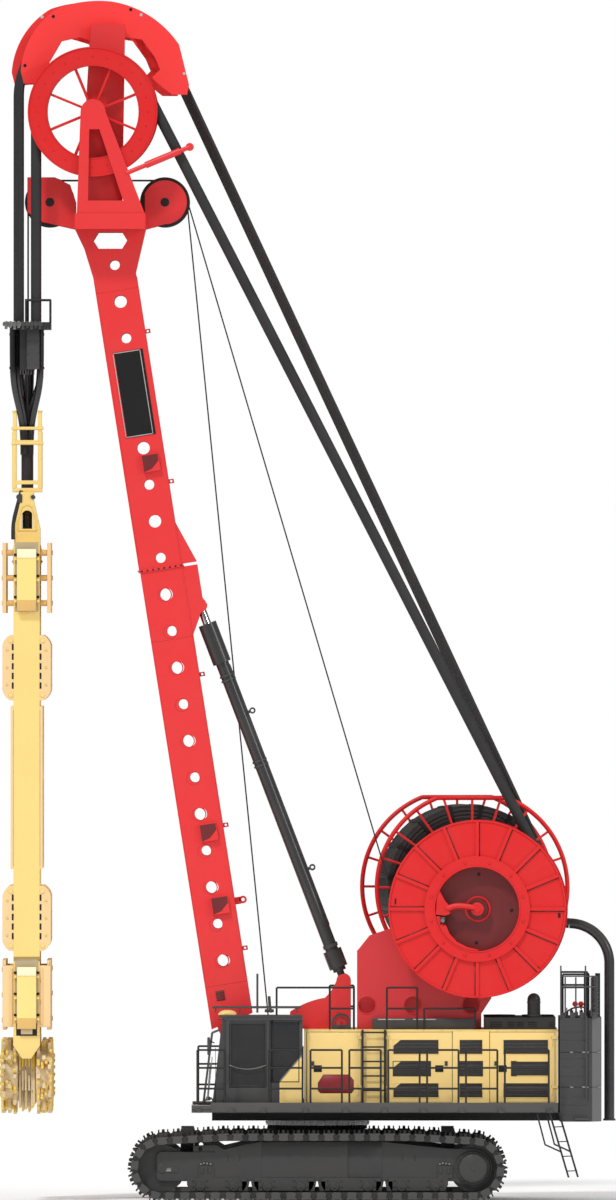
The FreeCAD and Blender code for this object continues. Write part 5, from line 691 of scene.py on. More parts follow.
def along_loop(offset, share):
    """Place on the loop after a share of its length, with X along the travel and Z outwards."""
    points = loop_run(offset)
    steps = [math.dist(a, b) for a, b in zip(points, points[1:])]
    left = share * sum(steps)
    for (ax, az), (bx, bz), step in zip(points, points[1:], steps):
        if left <= step and step > 0:
            break
        left -= step
    x, z = ax + (bx - ax) * left / step, az + (bz - az) * left / step
    return at(TRACK_X + x, 0, z) @ Matrix.Rotation(-math.atan2(bz - az, bx - ax), 4, "Y") @ twist(180, "X")


shoe_places = [along_loop(SHOE_REACH, (k + 0.5) / SHOES) for k in range(SHOES)]

# %% [markdown]
# A link plate is a low hexagon with a round cap for its pin. It stands only 9 mm off the flank.

# %% Shoes and links
LINK_THICK = 0.009
LINK_OUTLINE = [(-0.105, -0.14), (-0.055, -0.158), (0.055, -0.158), (0.105, -0.14), (0.085, -0.05),
                (0.11, -0.035), (0.11, -0.006), (-0.11, -0.006), (-0.11, -0.035), (-0.085, -0.05)]
for side, word in TRACKS:
    middle = side * TRACK_Y
    bars, links = [], []
    for share in (-0.3, 0.3):
        across = about(share * SHOE_PITCH, 0.013)
        tread = block((across[0], -0.474, -0.002), (across[1], 0.474, 0.058), 0.004)
        bars.append(copies(tread, [at(0, middle, 0) @ spot for spot in shoe_places]))
    finish_piece("grouser_bars_" + word, bars, track_dark, "undercarriage")
    for flank in (-1, 1):
        y = middle + flank * 0.475 - (LINK_THICK if flank < 0 else 0)
        link = cutout(LINK_OUTLINE, LINK_THICK)
        cap = ring(BORE, 0.034, 0, 0.012, 10, at(0, 0.011 if flank > 0 else -0.002, -0.1) @ OUT[flank], 0.03)
        links.append(copies(joined([link, cap]), [at(0, y, 0) @ spot for spot in shoe_places]))
    finish_piece("track_links_" + word, links, link_steel, "undercarriage")

# %% [markdown]
# The frame between the runs carries doubler plates, a bolted cover on the drive, the track tensioner's
# hatch with its bright bolts, and bearing caps on every roller.

# %% Track frames
ROLLERS, ROLLER_Z = [TRACK_X + 0.695 * (k - 3.5) for k in range(8)], 0.33
DRIVE_X, IDLER_X, HATCHES = 3.386, -3.054, (-2.14, 2.81)
DOUBLERS = (((-0.985, 0.79), (0.46, 1.255), 0.008), ((0.80, 1.50), (0.46, 1.25), 0.005),
            ((-2.60, -1.96), (1.045, 1.052), 0.02), ((-3.15, 2.74), (0.452, 0.47), 0.012),
            ((-2.96, -2.72), (0.62, 0.74), 0.012))
for side, word in TRACKS:
    face, out = side * FRAME_Y, OUT[side]
    parts = [plate(side, FRAME_Y, across, up, proud) for across, up, proud in DOUBLERS]
    parts += [plate(side, FRAME_Y, span(x, 0.016), (0.86, 0.97), 0.012) for x in (-1.70, -1.46, 1.92, 2.18)]
    for x in HATCHES:
        parts.append(plate(side, FRAME_Y, about(x, 0.16), (0.50, 0.76), 0.022))
        parts += [plate(side, FRAME_Y, about(x + shift, 0.025), (0.60, 0.74), 0.05)
                  for shift in (-0.09, 0.07)]
    for x in ROLLERS:
        parts.append(turned([(BORE, 0), (0.10, 0), (0.10, 0.022), (0.085, 0.035), (0.04, 0.035),
                             (0.035, 0.05), (BORE, 0.05)], 18, at(x, face + side * 0.03, ROLLER_Z) @ out))
        parts.append(bolts([at(x + dx, face + side * 0.03, ROLLER_Z + dz)
                            for dx, dz in ((-0.14, 0.12), (0.14, 0.12), (-0.15, 0.0), (0.15, 0.0))],
                           0.022, out))
    cover = at(DRIVE_X, face + side * 0.14, AXLE_Z) @ out
    parts.append(turned([(BORE, -0.01), (0.285, -0.01), (0.285, 0.012), (0.25, 0.03), (0.06, 0.034),
                         (0.05, 0.045), (BORE, 0.045)], 48, cover))
    parts.append(turned([(0.30, -0.139), (0.365, -0.139), (0.365, -0.10), (0.345, -0.085), (0.30, -0.085)],
                        48, cover))
    for count, radius, size, proud in ((20, 0.332, 0.016, 0.055), (12, 0.265, 0.018, 0.152)):
        parts.append(bolt_circle(at(DRIVE_X, face + side * proud, AXLE_Z), count, radius, size, out))
    parts.append(turned([(BORE, 0), (0.105, 0), (0.105, 0.012), (0.09, 0.02), (BORE, 0.02)], 24,
                        at(IDLER_X, face, AXLE_Z) @ out))
    finish_piece("frame_fittings_" + word, parts, frame_paint, "undercarriage")
    bright = [bolts([at(x + dx, face + side * 0.022, 0.80 + dz) for x in HATCHES
                     for dx, dz in ((-0.11, 0.0), (-0.05, 0.02), (0.02, 0.01), (0.09, 0.0))], 0.024, out),
              plate(side, FRAME_Y, (-3.02, -2.87), (0.645, 0.72), 0.014, 0.003)]
    finish_piece("tensioner_bolts_" + word, bright, plain_steel, "undercarriage")

# %% [markdown]
# The slewing ring has an outer race with bolts and a toothed inner race, just above the tracks.

# %% Slewing ring
teeth = copies(block((-0.016, -0.035, 1.49), (0.016, 0.03, 1.568), 0.003),
               [at(TRACK_X, 0, 0) @ twist(5 * k, "Z") @ at(0, 1.0, 0) for k in range(72)])
rim = ring(0.972, 0.985, 1.48, 1.568, 72, at(TRACK_X, 0, 0))
finish_piece("slewing_teeth", [teeth, rim], track_dark, "undercarriage")
# The seat bolts share the ring's near-white painted light.
seat = bolt_circle(at(TRACK_X, 0, 1.625), 48, 1.07, 0.02, ENDS[1], "Z")
finish_piece("slewing_bolts", [seat], ring_painted_light, "undercarriage")

# %% [markdown]
# Between two roller guards the frame's plate comes down in two corners, so only a small three-cornered
# opening is left.

# %% Guard corners
for side, word in TRACKS:
    corners = [cutout([(x + turn * 0.17, 0.235), (x + turn * 0.055, 0.235), (x + turn * 0.012, 0.44),
                       (x + turn * 0.17, 0.44)], 0.03, place=at(0, side * 2.44 - 0.015, 0))
               for x in (-1.228, 0.156, 1.549) for turn in (-1, 1)]
    finish_piece("guard_corners_" + word, corners, frame_paint, "undercarriage")

# %% [markdown]
# ## Engine house
# The vents in the doors are dark. Each gets a raised rim, and those of the middle door have their front
# corners cut off.

# %% House vents
def rim_of(left, right, low, high, y, width=0.016, proud=0.006):
    """Four thin strips round an opening on the near side."""
    wide = (left - width, right + width)
    strips = ((wide, (low - width, low)), (wide, (high, high + width)),
              ((left - width, left), (low, high)), ((right, right + width), (low, high)))
    return [plate(-1, y, across, up, proud, 0.002) for across, up in strips]


for (body, slot), bay in VENT_BAYS.items():
    rims, corners, bars = [], [], []
    for left, right, low, high in vents_in(*bay):
        rims += rim_of(left, right, low, high, HOUSE_Y)
        for k in range(4):
            z = low + 0.05 + k * (high - low - 0.07) / 3
            bars.append(block((left, -1.601, z), (right, -1.588, z + 0.012), 0.003))
        if body == "door_middle":
            corners.append(cutout([(left - 0.002, high + 0.002), (left + 0.15, high + 0.002),
                                   (left - 0.002, high - 0.125)], 0.010, place=at(0, -1.602, 0)))
    finish_piece("vent_rims_" + body, rims, cream_paint, body)
    finish_piece("vent_bars_" + body, bars, grille_paint, body)
    if corners:
        finish_piece("vent_corners_" + body, corners, plain_cream, body)

# %% [markdown]
# Each door has a latch with a cup and a key cover, and thin dark seams mark where the doors meet the
# house. The far side has the same panels, drawn with raised seams, because nothing opens there.

# %% Seams and far side
LATCHES = {("door_front", "house_door_front"): 0.17, ("door_middle", "house_door_middle"): 2.691,
           ("door_rear", "house_door_rear"): 4.005}
for (body, slot), latch in LATCHES.items():
    cup = [plate(-1, HOUSE_Y, about(latch, 0.085), (2.69, 2.83), 0.006, 0.003),
           block((latch + 0.03, -1.622, 2.715), (latch + 0.066, -1.606, 2.805), 0.004),
           bolts([at(latch + x, -1.606, z) for x in (-0.07, 0.07) for z in (2.705, 2.815)], 0.008)]
    finish_piece("latch_" + body, cup, black_paint, body)
upright = (HOUSE_LOW, HOUSE_HIGH)
seams = [plate(-1, HOUSE_Y, about(x, 0.005), upright, 0.003, 0.001)
         for x in (-0.062, 1.069, 1.593, 2.962, 3.735)]
seams.append(block((-0.06, -1.604, 2.012), (5.15, -1.598, 2.028), 0.002))
seams += [plate(1, HOUSE_Y, span(0.1 + 0.86 * k, 0.012), upright, 0.004, 0.001) for k in range(6)]
finish_piece("house_seams", seams, black_paint, "upper")
grilles = [plate(1, HOUSE_Y, span(x, 0.7), span(low + 0.03 + 0.055 * k, 0.03), 0.012)
           for x in (1.2, 2.2, 3.3, 4.3) for low, _ in VENT_ROWS for k in range(5)]
finish_piece("far_side_vents", grilles, grille_paint, "upper")
trim = [plate(side, HOUSE_Y, (-0.11, 5.152), (3.54, 3.57), 0.006) for side in (-1, 1)]
trim += [bolts([at(0.05 + 0.385 * k, side * 1.606, 3.555) for k in range(14)], 0.014, OUT[side])
         for side in (-1, 1)]
finish_piece("roof_trim", trim, plain_cream, "upper")

# %% [markdown]
# ## Walkways
# A side band hides the walkway's ribs, and every rail post stands in a bolted bracket. Raised studs make
# the deck safe to walk on, but there are none under the cab.

# %% Walkways and rails
WALK_Y = 2.45
bands, feet = [], []
for side in (-1, 1):
    bands += [plate(side, WALK_Y, (-2.04, 5.146), (1.875, 2.07), 0.012),
              plate(side, WALK_Y, (-2.444, -2.04), (1.93, 2.0), 0.012)]
    for x in (-2.3, -1.62, -0.959, -0.083, 0.748, 1.553, 2.358, 3.163, 3.968, 4.98):
        feet.append(plate(side, WALK_Y, about(x, 0.065), (1.86, 1.945), 0.042, 0.008))
        feet.append(bolts([at(x + dx, side * (WALK_Y + 0.042), 1.90) for dx in (-0.04, 0.04)],
                          0.016, OUT[side]))
finish_piece("walkway_bands", bands, band_paint, "upper")
finish_piece("rail_brackets", feet, charcoal_paint, "upper")
stud = ring(BORE, 0.011, 0.004, 0, 6, top=0.014)
rows = [(-2.3 + 0.12 * i + 0.06 * (j % 2), side * (1.70 + 0.11 * j)) for side in (-1, 1)
        for i in range(61) for j in range(6)]
studs = copies(stud, [at(x, y, 2.011) for x, y in rows if not (x < -0.1 and -1.95 < y < 0)])
finish_piece("tread_studs", [studs], charcoal_paint, "upper")
strip = [block((x, -2.444, 2.0), (x + 0.02, -1.95, 2.03), 0.004) for x in (-2.345, -2.055)]
strip.append(block((-2.444, -2.452, 2.004), (-2.04, -2.444, 2.026), 0.003))
finish_piece("walkway_front_strip", strip, plain_steel, "upper")

# %% [markdown]
# ## Cab
# The windows sit in rubber, a guard of bars leans in front of the windscreen, and a curved grab bar
# crosses the door. A cream panel with a bright strip closes the rear corner, and two dome lamps and a
# rail sit on the roof.

# %% Cab fittings
CAB_Y, CAB_RAILS = 1.85, (-1.80, -0.86)
gasket = rim_of(-0.76, -0.23, 2.50, 3.76, 1.8508, 0.02, 0.002)
finish_piece("rear_window_rubber", gasket, rubber, "upper")
door_rim = rim_of(-1.62, -0.92, 2.42, 3.72, 1.902, 0.03, 0.006)
finish_piece("door_window_rubber", door_rim, rubber, "cab_door")
grab = pipe([(-1.66, -1.914, 2.84), (-1.655, -1.942, 2.835), (-1.5, -1.95, 2.775), (-1.28, -1.95, 2.745),
             (-1.06, -1.95, 2.775), (-0.905, -1.942, 2.835), (-0.90, -1.914, 2.84)], 0.013, 8, True)
finish_piece("cab_grab_bar", [grab], plain_steel, "cab_door")
panel = cutout([(-0.622, 2.03), (-0.152, 2.03), (-0.152, 3.05), (-0.622, 2.49)], 0.0015,
               place=at(0, -1.8520, 0))
finish_piece("cab_corner_panel", [panel], plain_cream, "upper")
strip = cutout([(-0.622, 2.47), (-0.152, 3.03), (-0.152, 3.075), (-0.622, 2.515)], 0.002,
               place=at(0, -1.8528, 0))
finish_piece("cab_corner_strip", [strip], plain_steel, "upper")
domes = [turned([(BORE, 0.10), (0.08, 0.095), (0.15, 0.07), (0.19, 0.03), (0.195, 0), (BORE, 0)], 28,
                at(-1.70, y, 3.872)) for y in (-1.5, -1.12)]
finish_piece("cab_roof_lamps", domes, plain_cream, "upper")
guard = [bar((-2.02, y, 3.50), (-2.20, y, 2.06), 0.022, 10) for y in (-1.83, -1.33, -0.83)]
for share in (0.0, 0.2, 0.4, 0.6, 0.8, 1.0):
    x, z = -2.02 - 0.18 * share, 3.50 - 1.44 * share
    guard.append(bar((x, -1.84, z), (x, -0.82, z), 0.012, 8))
for y in (-1.83, -0.83):
    guard += [bar((-2.02, y, 3.50), (-1.87, y, 3.56), 0.016, 8),
              bar((-2.195, y, 2.10), (-2.03, y, 2.14), 0.016, 8)]
finish_piece("windscreen_guard", guard, charcoal_paint, "upper")
wipers = [bar((-2.10, -1.60, 2.16), (-2.02, -1.30, 3.0), 0.009, 8),
          bar((-2.115, -1.845, 2.12), (-2.055, -1.845, 2.86), 0.016, 8),
          block((-2.15, -1.66, 2.10), (-2.06, -1.54, 2.18), 0.01)]
finish_piece("wiper", wipers, plain_steel, "upper")
rail = [bar((-2.02, y, 4.03), (-0.18, y, 4.03), 0.018, 10) for y in CAB_RAILS]
rail += [bar((x, y, 3.92), (x, y, 4.03), 0.016, 8) for x in (-1.95, -1.45, -0.80, -0.26) for y in CAB_RAILS]
rail += [bar((-1.082, -1.62, 3.92), (-1.082, -1.62, 4.73), 0.022, 8),
         block((-0.93, -1.50, 3.925), (-0.74, -1.30, 3.99), 0.01),
         bar((-0.82, -1.40, 3.98), (-0.84, -1.40, 4.26), 0.03, 10)]
finish_piece("cab_roof_rail", rail, charcoal_paint, "upper")
seams = [plate(-1, CAB_Y, across, up, 0.003, 0.001) for across, up in (
    ((-1.905, -0.15), (3.775, 3.785)), ((-0.80, -0.79), (2.0, 3.78)), ((-1.955, -1.945), (2.0, 3.2)))]
seams += [block((x - 0.03, -1.8528, z), (x + 0.03, -1.848, z + 0.02), 0.001)
          for x, z in ((-1.78, 2.1), (-1.3, 2.02), (-1.2, 2.02), (-0.88, 2.1))]
finish_piece("cab_seams", seams, black_paint, "upper")
mirror = [bar((-1.98, -1.85, 3.3), (-2.08, -2.05, 3.35), 0.014, 8),
          block((-2.12, -2.18, 3.05), (-2.06, -2.02, 3.42), 0.02)]
finish_piece("cab_mirror", mirror, charcoal_paint, "upper")

# %% [markdown]
# The operator's seat gets rounded cushions over its plain solid.

# %% Seat cushions
cushions = [block((-0.955, -1.565, 2.53), (-0.43, -1.085, 2.68), 0.04),
            block((-0.52, -1.55, 2.68), (-0.38, -1.10, 3.30), 0.045),
            block((-0.49, -1.45, 3.32), (-0.38, -1.20, 3.52), 0.04)]
finish_piece("seat_cushions", cushions, seat_cloth, "upper")

# %% [markdown]
# ## Roof and counterweight
# The cooler has slots and four fans on top, and the stack next to them two rings.

# %% Cooler and stack
slots = [plate(side, 1.298, across, span(z, 0.018), 0.006, 0.003)
         for across in ((4.11, 4.25), (4.30, 4.45), (4.53, 4.72), (4.97, 5.06), (3.75, 4.0))
         for z in (3.625, 3.665, 3.705) for side in (-1, 1)]
for x in (3.95, 4.75):
    for y in (-0.55, 0.55):
        blades = copies(block((-0.27, -0.035, 0.006), (0.27, 0.035, 0.014), 0.003),
                        [at(x, y, 3.822) @ twist(45 * k, "Z") @ twist(18, "X") for k in range(4)])
        slots += [ring(0.30, 0.33, 0, 0.03, 36, at(x, y, 3.82)), blades,
                  ring(BORE, 0.07, 0, 0.035, 18, at(x, y, 3.82), 0.06)]
slots.append(block((3.64, -1.29, 3.82), (5.09, 1.29, 3.826), 0.003))
finish_piece("cooler_slots", slots, black_paint, "upper")
caps = [ring(0.14, 0.16, 0.0, 0.05, 30, at(4.656, -1.105, 3.83)),
        ring(0.137, 0.144, 0.0, 0.02, 30, at(4.656, -1.105, 4.12))]
finish_piece("stack_rings", caps, charcoal_paint, "upper")

# %% [markdown]
# Under the hose drums stands a dark base with pale slits, and a small arch with a rope sheave.

# %% Drum base
base = [block((1.30, -1.24, 3.57), (3.46, -0.93, 3.80), 0.02),
        ring(0.15, 0.20, -0.16, 0.16, 36, at(0.66, -0.95, 3.70) @ NEAR),
        block((0.46, -1.10, 3.57), (0.86, -0.80, 3.66), 0.01)]
finish_piece("drum_base", base, charcoal_paint, "upper")
slits = [plate(-1, 1.239, across, (3.765, 3.785), 0.007, 0.003) for across in ((1.42, 1.98), (2.15, 2.62))]
finish_piece("base_slits", slits, border_paint, "upper")
sheave = turned([(0.03, -0.04), (0.13, -0.04), (0.10, 0), (0.13, 0.04), (0.03, 0.04)], 32,
                at(0.66, -1.0, 3.70) @ NEAR)
rings = [ring(0.175, 0.20, 0.0, 0.012, 32, at(0.988 + x, -0.895, 4.07) @ NEAR, 0.195)
         for x in (0.2, 1.16, 2.37)]
finish_piece("small_rope_sheave", [sheave], stand_paint, "upper")
finish_piece("stand_hole_rims", rings, stand_paint, "upper")

# %% [markdown]
# The plate on the front door stays blank, on an edge a little larger than itself.

# %% Plate on the front door
PLATE_X, PLATE_Z = 0.55, 2.445
outline = [(0.31, 0.12), (0.35, 0.07), (0.35, -0.13), (0.31, -0.18), (-0.31, -0.18), (-0.36, -0.13),
           (-0.36, 0.02), (-0.25, 0.18), (0.25, 0.18)]
blank = cutout([(PLATE_X + x, PLATE_Z + z) for x, z in outline], 0.006, 0.002, at(0, -1.608, 0))
finish_piece("blank_door_plate", [blank], plate_paint, "door_front")
edge = cutout([(PLATE_X + x * 1.05, PLATE_Z + z * 1.08) for x, z in outline], 0.003, place=at(0, -1.6035, 0))
finish_piece("blank_plate_edge", [edge], dark_paint, "door_front")

# %% [markdown]
# The counterweight is a stack with bright tie pins at its seams, and carries a valve bank in its cage
# with two red handles.

# %% Counterweight
BALLAST_Y, BALLAST_JOINTS = 1.85, (2.38, 3.102)
pins, dark = [], []
for side in (-1, 1):
    pins += [plate(side, BALLAST_Y, across, about(z, 0.014), 0.006, 0.003)
             for z in BALLAST_JOINTS for across in ((5.40, 5.47), (5.65, 5.79))]
    dark += [plate(side, BALLAST_Y, (5.20, 5.78), span(z, 0.008), 0.003, 0.001)
             for z in (1.80, 2.0, 2.17, 2.60, 2.80, 2.97, 3.35, 3.52)]
    rail_y = side * (BALLAST_Y + 0.05)
    dark.append(bar((5.74, rail_y, 2.16), (5.74, rail_y, 3.86), 0.02, 10))
    dark += [plate(side, BALLAST_Y, (5.725, 5.755), span(z, 0.03), 0.05, 0.003)
             for z in (2.18, 2.75, 3.30, 3.80)]
    dark.append(plate(side, BALLAST_Y, (5.50, 5.78), (1.70, 1.74), 0.08, 0.006))
pins += [block((5.94, -1.60, z - 0.014), (6.04, -1.55, z + 0.014), 0.003) for z in BALLAST_JOINTS]
finish_piece("ballast_pins", pins, plain_steel, "upper")
finish_piece("ballast_seams", dark, charcoal_paint, "upper")
valves = [block((5.24, -1.70, 3.82), (5.98, -1.25, 3.86), 0.008)]
for k in range(7):
    x = 5.30 + 0.10 * k
    valves += [block((x, -1.62, 3.86), (x + 0.07, -1.38, 3.94 + 0.03 * (k % 2)), 0.01),
               bar((x + 0.035, -1.60, 3.9), (x + 0.035, -1.66, 4.02), 0.012, 8)]
valves += [bar((5.92, -1.60, 3.82), (5.92, -1.60, 4.68), 0.065, 16),
           pipe([(5.3, -1.3, 3.9), (5.5, -1.25, 4.1), (5.8, -1.25, 4.0)], 0.02, 8, True)]
valves += [ring(0.064, 0.075, 0, 0.03, 18, at(5.92, -1.60, 3.9 + 0.085 * k)) for k in range(9)]
valves += [bar((x, -1.86, low), (x, -1.86, high), 0.016, 8) for low, high, posts in (
    (3.80, 4.90, (5.21, 5.72)), (3.85, 4.66, (5.30, 5.52, 5.84))) for x in posts]
valves += [bar((5.21, -1.86, z), (5.96, -1.86, z), 0.014, 8) for z in (4.46, 4.68)]
valves += [block((x - 0.05, -1.84, 3.80), (x + 0.06, -1.74, 3.93), 0.01) for x in (5.25, 5.45, 5.65, 5.90)]
finish_piece("valve_bank", valves, charcoal_paint, "upper")
knobs = [turned([(BORE, 0), (0.02, 0), (0.02, 0.05), (0.055, 0.07), (0.06, 0.11), (0.035, 0.15),
                 (BORE, 0.155)], 18, at(x, -1.48, 4.0)) for x in (5.51, 5.63)]
finish_piece("valve_handles", knobs, drum_paint, "upper")

# %% [markdown]
# ## Slurry hose drum
# The near drum has a rolled rim and a bolted hub ring. Inside the ring a swivel pipe leads the slurry
# from the middle out to the hose, past a bracket and a dark valve.

# %% Slurry hose drum
DRUM = at(3.498, -1.42, 6.072) @ twist(-3, "Z")
rims = []
for face in OUT.values():
    rims.append(turned([(1.80, 0.36), (1.846, 0.36), (1.846, 0.385), (1.81, 0.385)], 72, DRUM @ face))
    rims.append(ring(0.872, 0.90, 0.42, 0.446, 56, DRUM @ face))
rims.append(ring(0.225, 0.27, 0.14, 0.17, 40, DRUM @ NEAR))
rims += [bolt_circle(DRUM @ at(0, side * 0.432, 0), 12, 0.985, 0.032, face, first=15)
         for side, face in OUT.items()]
crescent = [(0.868 * math.cos(math.radians(a)), 0.868 * math.sin(math.radians(a)))
            for a in range(190, 276, 8)]
crescent += [(0.04, -0.845), (-0.20, -0.79), (-0.42, -0.68), (-0.58, -0.50), (-0.66, -0.30), (-0.68, -0.15)]
rims.append(cutout(crescent, 0.12, 0.008, DRUM @ at(0, -0.44, 0)))
rims.append(cutout([(-0.84, 0.22), (-0.78, 0.38), (-0.66, 0.16), (-0.58, 0.08), (-0.56, -0.10),
                    (-0.66, -0.14), (-0.86, -0.12)], 0.14, 0.012, DRUM @ at(0, -0.46, 0)))
rims.append(pipe([(0.0, -0.395, 0.02), (0.0, -0.47, 0.02), (-0.08, -0.48, 0.03), (-0.30, -0.47, 0.07),
                  (-0.50, -0.46, 0.07), (-0.62, -0.45, 0.0)], 0.062, 12, True, DRUM))
rims.append(turned([(BORE, 0.39), (0.13, 0.39), (0.13, 0.45), (0.07, 0.46), (0.07, 0.50), (BORE, 0.50)], 28,
                   DRUM @ NEAR))
finish_piece("mud_drum_rims", rims, drum_paint, "mud_drum")
shades = copies(block((0.036, -0.3625, 1.10), (0.058, -0.3595, 1.80), 0.0008),
                [DRUM @ twist(22.5 * k, "Y") for k in range(16)])
finish_piece("mud_drum_rib_shades", [shades], dark_paint, "mud_drum")
# A thin dark red disc between the hub ring and the inner rim stands for the shade in the drum's recess: painted
# shade.
recess = ring(0.225, 0.872, 0.140, 0.144, 64, DRUM @ NEAR)
finish_piece("mud_drum_recess", [recess], dark_paint, "mud_drum")
dark = [block((-0.79, -0.44, -0.35), (-0.64, -0.30, -0.14), 0.015, DRUM)]
dark += [ring(BORE, 0.035, 0.144, 0.156, 14, DRUM @ at(x, 0, z) @ NEAR, 0.03)
         for x, z in ((0.70, -0.03), (-0.03, -0.70), (0.02, 0.72))]
dark += [plate(-1, 0.36, about(x, wide), about(z, tall), 0.012, 0.003, place=DRUM) for x, z, wide, tall in (
    (-1.70, 0.16, 0.015, 0.06), (1.70, -0.13, 0.025, 0.05), (1.24, -1.24, 0.045, 0.045))]
finish_piece("mud_drum_valve", dark, black_paint, "mud_drum")
bands = [bar((-0.715, -0.455, -0.27), (-0.715, -0.455, -0.20), 0.05, 14, DRUM),
         bar((-0.715, -0.455, -0.19), (-0.715, -0.455, -0.175), 0.058, 14, DRUM)]
finish_piece("mud_drum_bands", bands, plain_steel, "mud_drum")

# %% [markdown]
# ## Hose drum
# The far drum carries a whole set of hydraulic hoses side by side. Each turn of hose is one ring, modelled
# once and copied across the drum, and flat straps press them down.

# %% Hose drum
REEL = at(3.234, 1.34, 6.5) @ twist(7.8, "Z")
coil = turned([(1.688 + 0.037 * math.cos(a), 0.037 * math.sin(a))
               for a in (0.0, 1.05, 2.09, 3.14, 4.19, 5.24)], 56)
coils = copies(coil, [REEL @ at(0, -0.66 + 0.0776 * k, 0) @ NEAR for k in range(18)])
finish_piece("hose_coils", [coils], rubber, "hose_drum")
ends = [turned([(r - 0.034, 0.715), (r + 0.034, 0.715), (r + 0.02, 0.742), (r - 0.02, 0.742)], 48,
               REEL @ face)
        for face in OUT.values() for r in (1.30, 1.38, 1.46, 1.54, 1.62)]
finish_piece("hose_coil_ends", ends, hose_set, "hose_drum")
strap_places = [REEL @ twist(22.5 * k + 8, "Y") for k in range(16)]
straps = [copies(block((-0.055, -0.71, 1.722), (0.055, 0.71, 1.734), 0.003), strap_places),
          copies(block((-0.045, -0.748, 1.26), (0.045, -0.712, 1.73), 0.004), strap_places)]
finish_piece("hose_straps", straps, black_paint, "hose_drum")
caps = [ring(BORE, 0.11, 1.11, 1.16, 24, REEL @ FAR_SIDE, 0.09),
        bolt_circle(REEL @ at(0, 1.11, 0), 12, 0.22, 0.028, FAR_SIDE)]
finish_piece("reel_hub_bolts", caps, dark_steel, "hose_drum")

# %% [markdown]
# ## Hose wheel
# The wheel on the mast head turns the slurry hose over the top. It gets a rolled rim, a hub ring and bolts.

# %% Hose wheel
WHEEL_TOP = at(-4.493, -1.0, 22.614) @ twist(-3, "Z")
wheel = []
for side, face in OUT.items():
    wheel += [turned([(1.315, 0.19), (1.349, 0.19), (1.349, 0.212), (1.322, 0.212)], 72, WHEEL_TOP @ face),
              ring(0.956, 0.985, 0.19, 0.205, 64, WHEEL_TOP @ face, 0.98),
              ring(0.085, 0.17, 0.19, 0.21, 32, WHEEL_TOP @ face, 0.165),
              bolt_circle(WHEEL_TOP @ at(0, side * 0.208, 0), 8, 0.13, 0.018, face),
              bolt_circle(WHEEL_TOP @ at(0, side * 0.195, 0), 24, 1.15, 0.016, face)]
finish_piece("hose_wheel_rims", wheel, drum_paint, "hose_wheel")

# %% [markdown]
# ## Mast
# The mast leans, so its fittings are placed in its own frame: across, sideways and along. Weld seams,
# flange bolts, hole rims and a sign with a pale border break up its big plates. The sign is left blank.

# %% Mast
MAST, MAST_Y, SIGN_Z = at(-1.564, 0, 3.328) @ twist(-8.9, "Y"), 0.549, 13.604
seams, heads, rings = [], [], []
for side, face in OUT.items():
    seams += [plate(side, MAST_Y, (-0.42, 0.45), about(along, 0.008), 0.007, 0.002, place=MAST)
              for along in (1.19, 8.44, 15.775)]
    seams += [plate(side, MAST_Y, across, up, 0.007, 0.002, place=MAST)
              for up in ((1.3, 9.80), (10.05, 16.0)) for across in ((-0.425, -0.405), (0.435, 0.455))]
    heads.append(bolts([MAST @ at(-0.39 + 0.118 * k, side * 0.579, 9.925) for k in range(8)], 0.022, face))
    rings += [ring(0.132, 0.15, MAST_Y, 0.556, 28, MAST @ at(0, 0, 1.674 + 0.77 * k) @ face, 0.146)
              for k in range(11)]
finish_piece("mast_seams", seams + rings, mast_paint, "mast")
finish_piece("flange_bolts", heads, dark_steel, "mast")
grille = [plate(-1, MAST_Y, (-0.23, -0.05), (0.86, 1.07), 0.013, place=MAST)]
grille += [plate(-1, 0.56, (-0.22, -0.06), span(0.88 + 0.03 * k, 0.012), 0.008, 0.002, place=MAST)
           for k in range(6)]
finish_piece("mast_grille", grille, dark_paint, "mast")
border = [plate(-1, 0.5645, across, (SIGN_Z + low, SIGN_Z + high), 0.0035, 0.0008, place=MAST)
          for across, low, high in (((-0.29, 0.29), -0.888, -0.872), ((-0.29, 0.29), 0.872, 0.888),
                                    ((-0.29, -0.274), -0.888, 0.888), ((0.274, 0.29), -0.888, 0.888))]
finish_piece("sign_border", border, border_paint, "mast")
shades = [cutout([(-0.02, along + 0.17), (0.31, along + 0.17), (0.31, along + 0.03), (0.15, along - 0.12),
                  (-0.02, along - 0.17)], 0.006, place=MAST @ at(0, -0.655, 0))
          for along in (2.820, 4.355, 12.126)]
finish_piece("side_box_shades", shades, dark_paint, "mast")
lug = [block((0.45, -0.03, 2.78), (0.60, 0.03, 2.93), 0.02, MAST),
       ring(0.035, 0.08, -0.03, 0.03, 20, MAST @ at(0.63, 0, 2.86) @ NEAR)]
finish_piece("mast_lug", lug, mast_paint, "mast")

# %% [markdown]
# ## Mast head and arch
# Pale and dark bolts sit on the arch's near cheek, which is turned a little, so their places along X are
# scaled to it. Rollers lie under the hoses, and round covers close the sheave axles.

# %% Mast head and arch
ARCH_X, ARCH_Z = -4.379, 22.942
ARCH = at(ARCH_X, 0.29, ARCH_Z) @ twist(7.8, "Z")
for name, finish, spots in (
        ("arch_pale_bolts", border_paint, ((-5.556, 24.594), (-3.499, 24.642), (-2.607, 23.423))),
        ("arch_dark_bolts", black_paint, ((-5.323, 24.604), (-5.912, 23.585), (-3.715, 24.753)))):
    caps = [ring(BORE, 0.035, 0.763, 0.775, 16,
                 ARCH @ at((x - ARCH_X - 0.1051) / 0.9907, 0, z - ARCH_Z) @ NEAR, 0.03) for x, z in spots]
    finish_piece(name, caps, finish, "mast")
rollers = []
for k in range(15):
    angle = math.radians(15 + 150 * k / 14)
    x, z = 1.60 * math.cos(angle), 1.60 * math.sin(angle)
    rollers.append(bar((x, -0.70, z), (x, 0.70, z), 0.035, 10, ARCH))
finish_piece("arch_rollers", rollers, dark_steel, "mast")
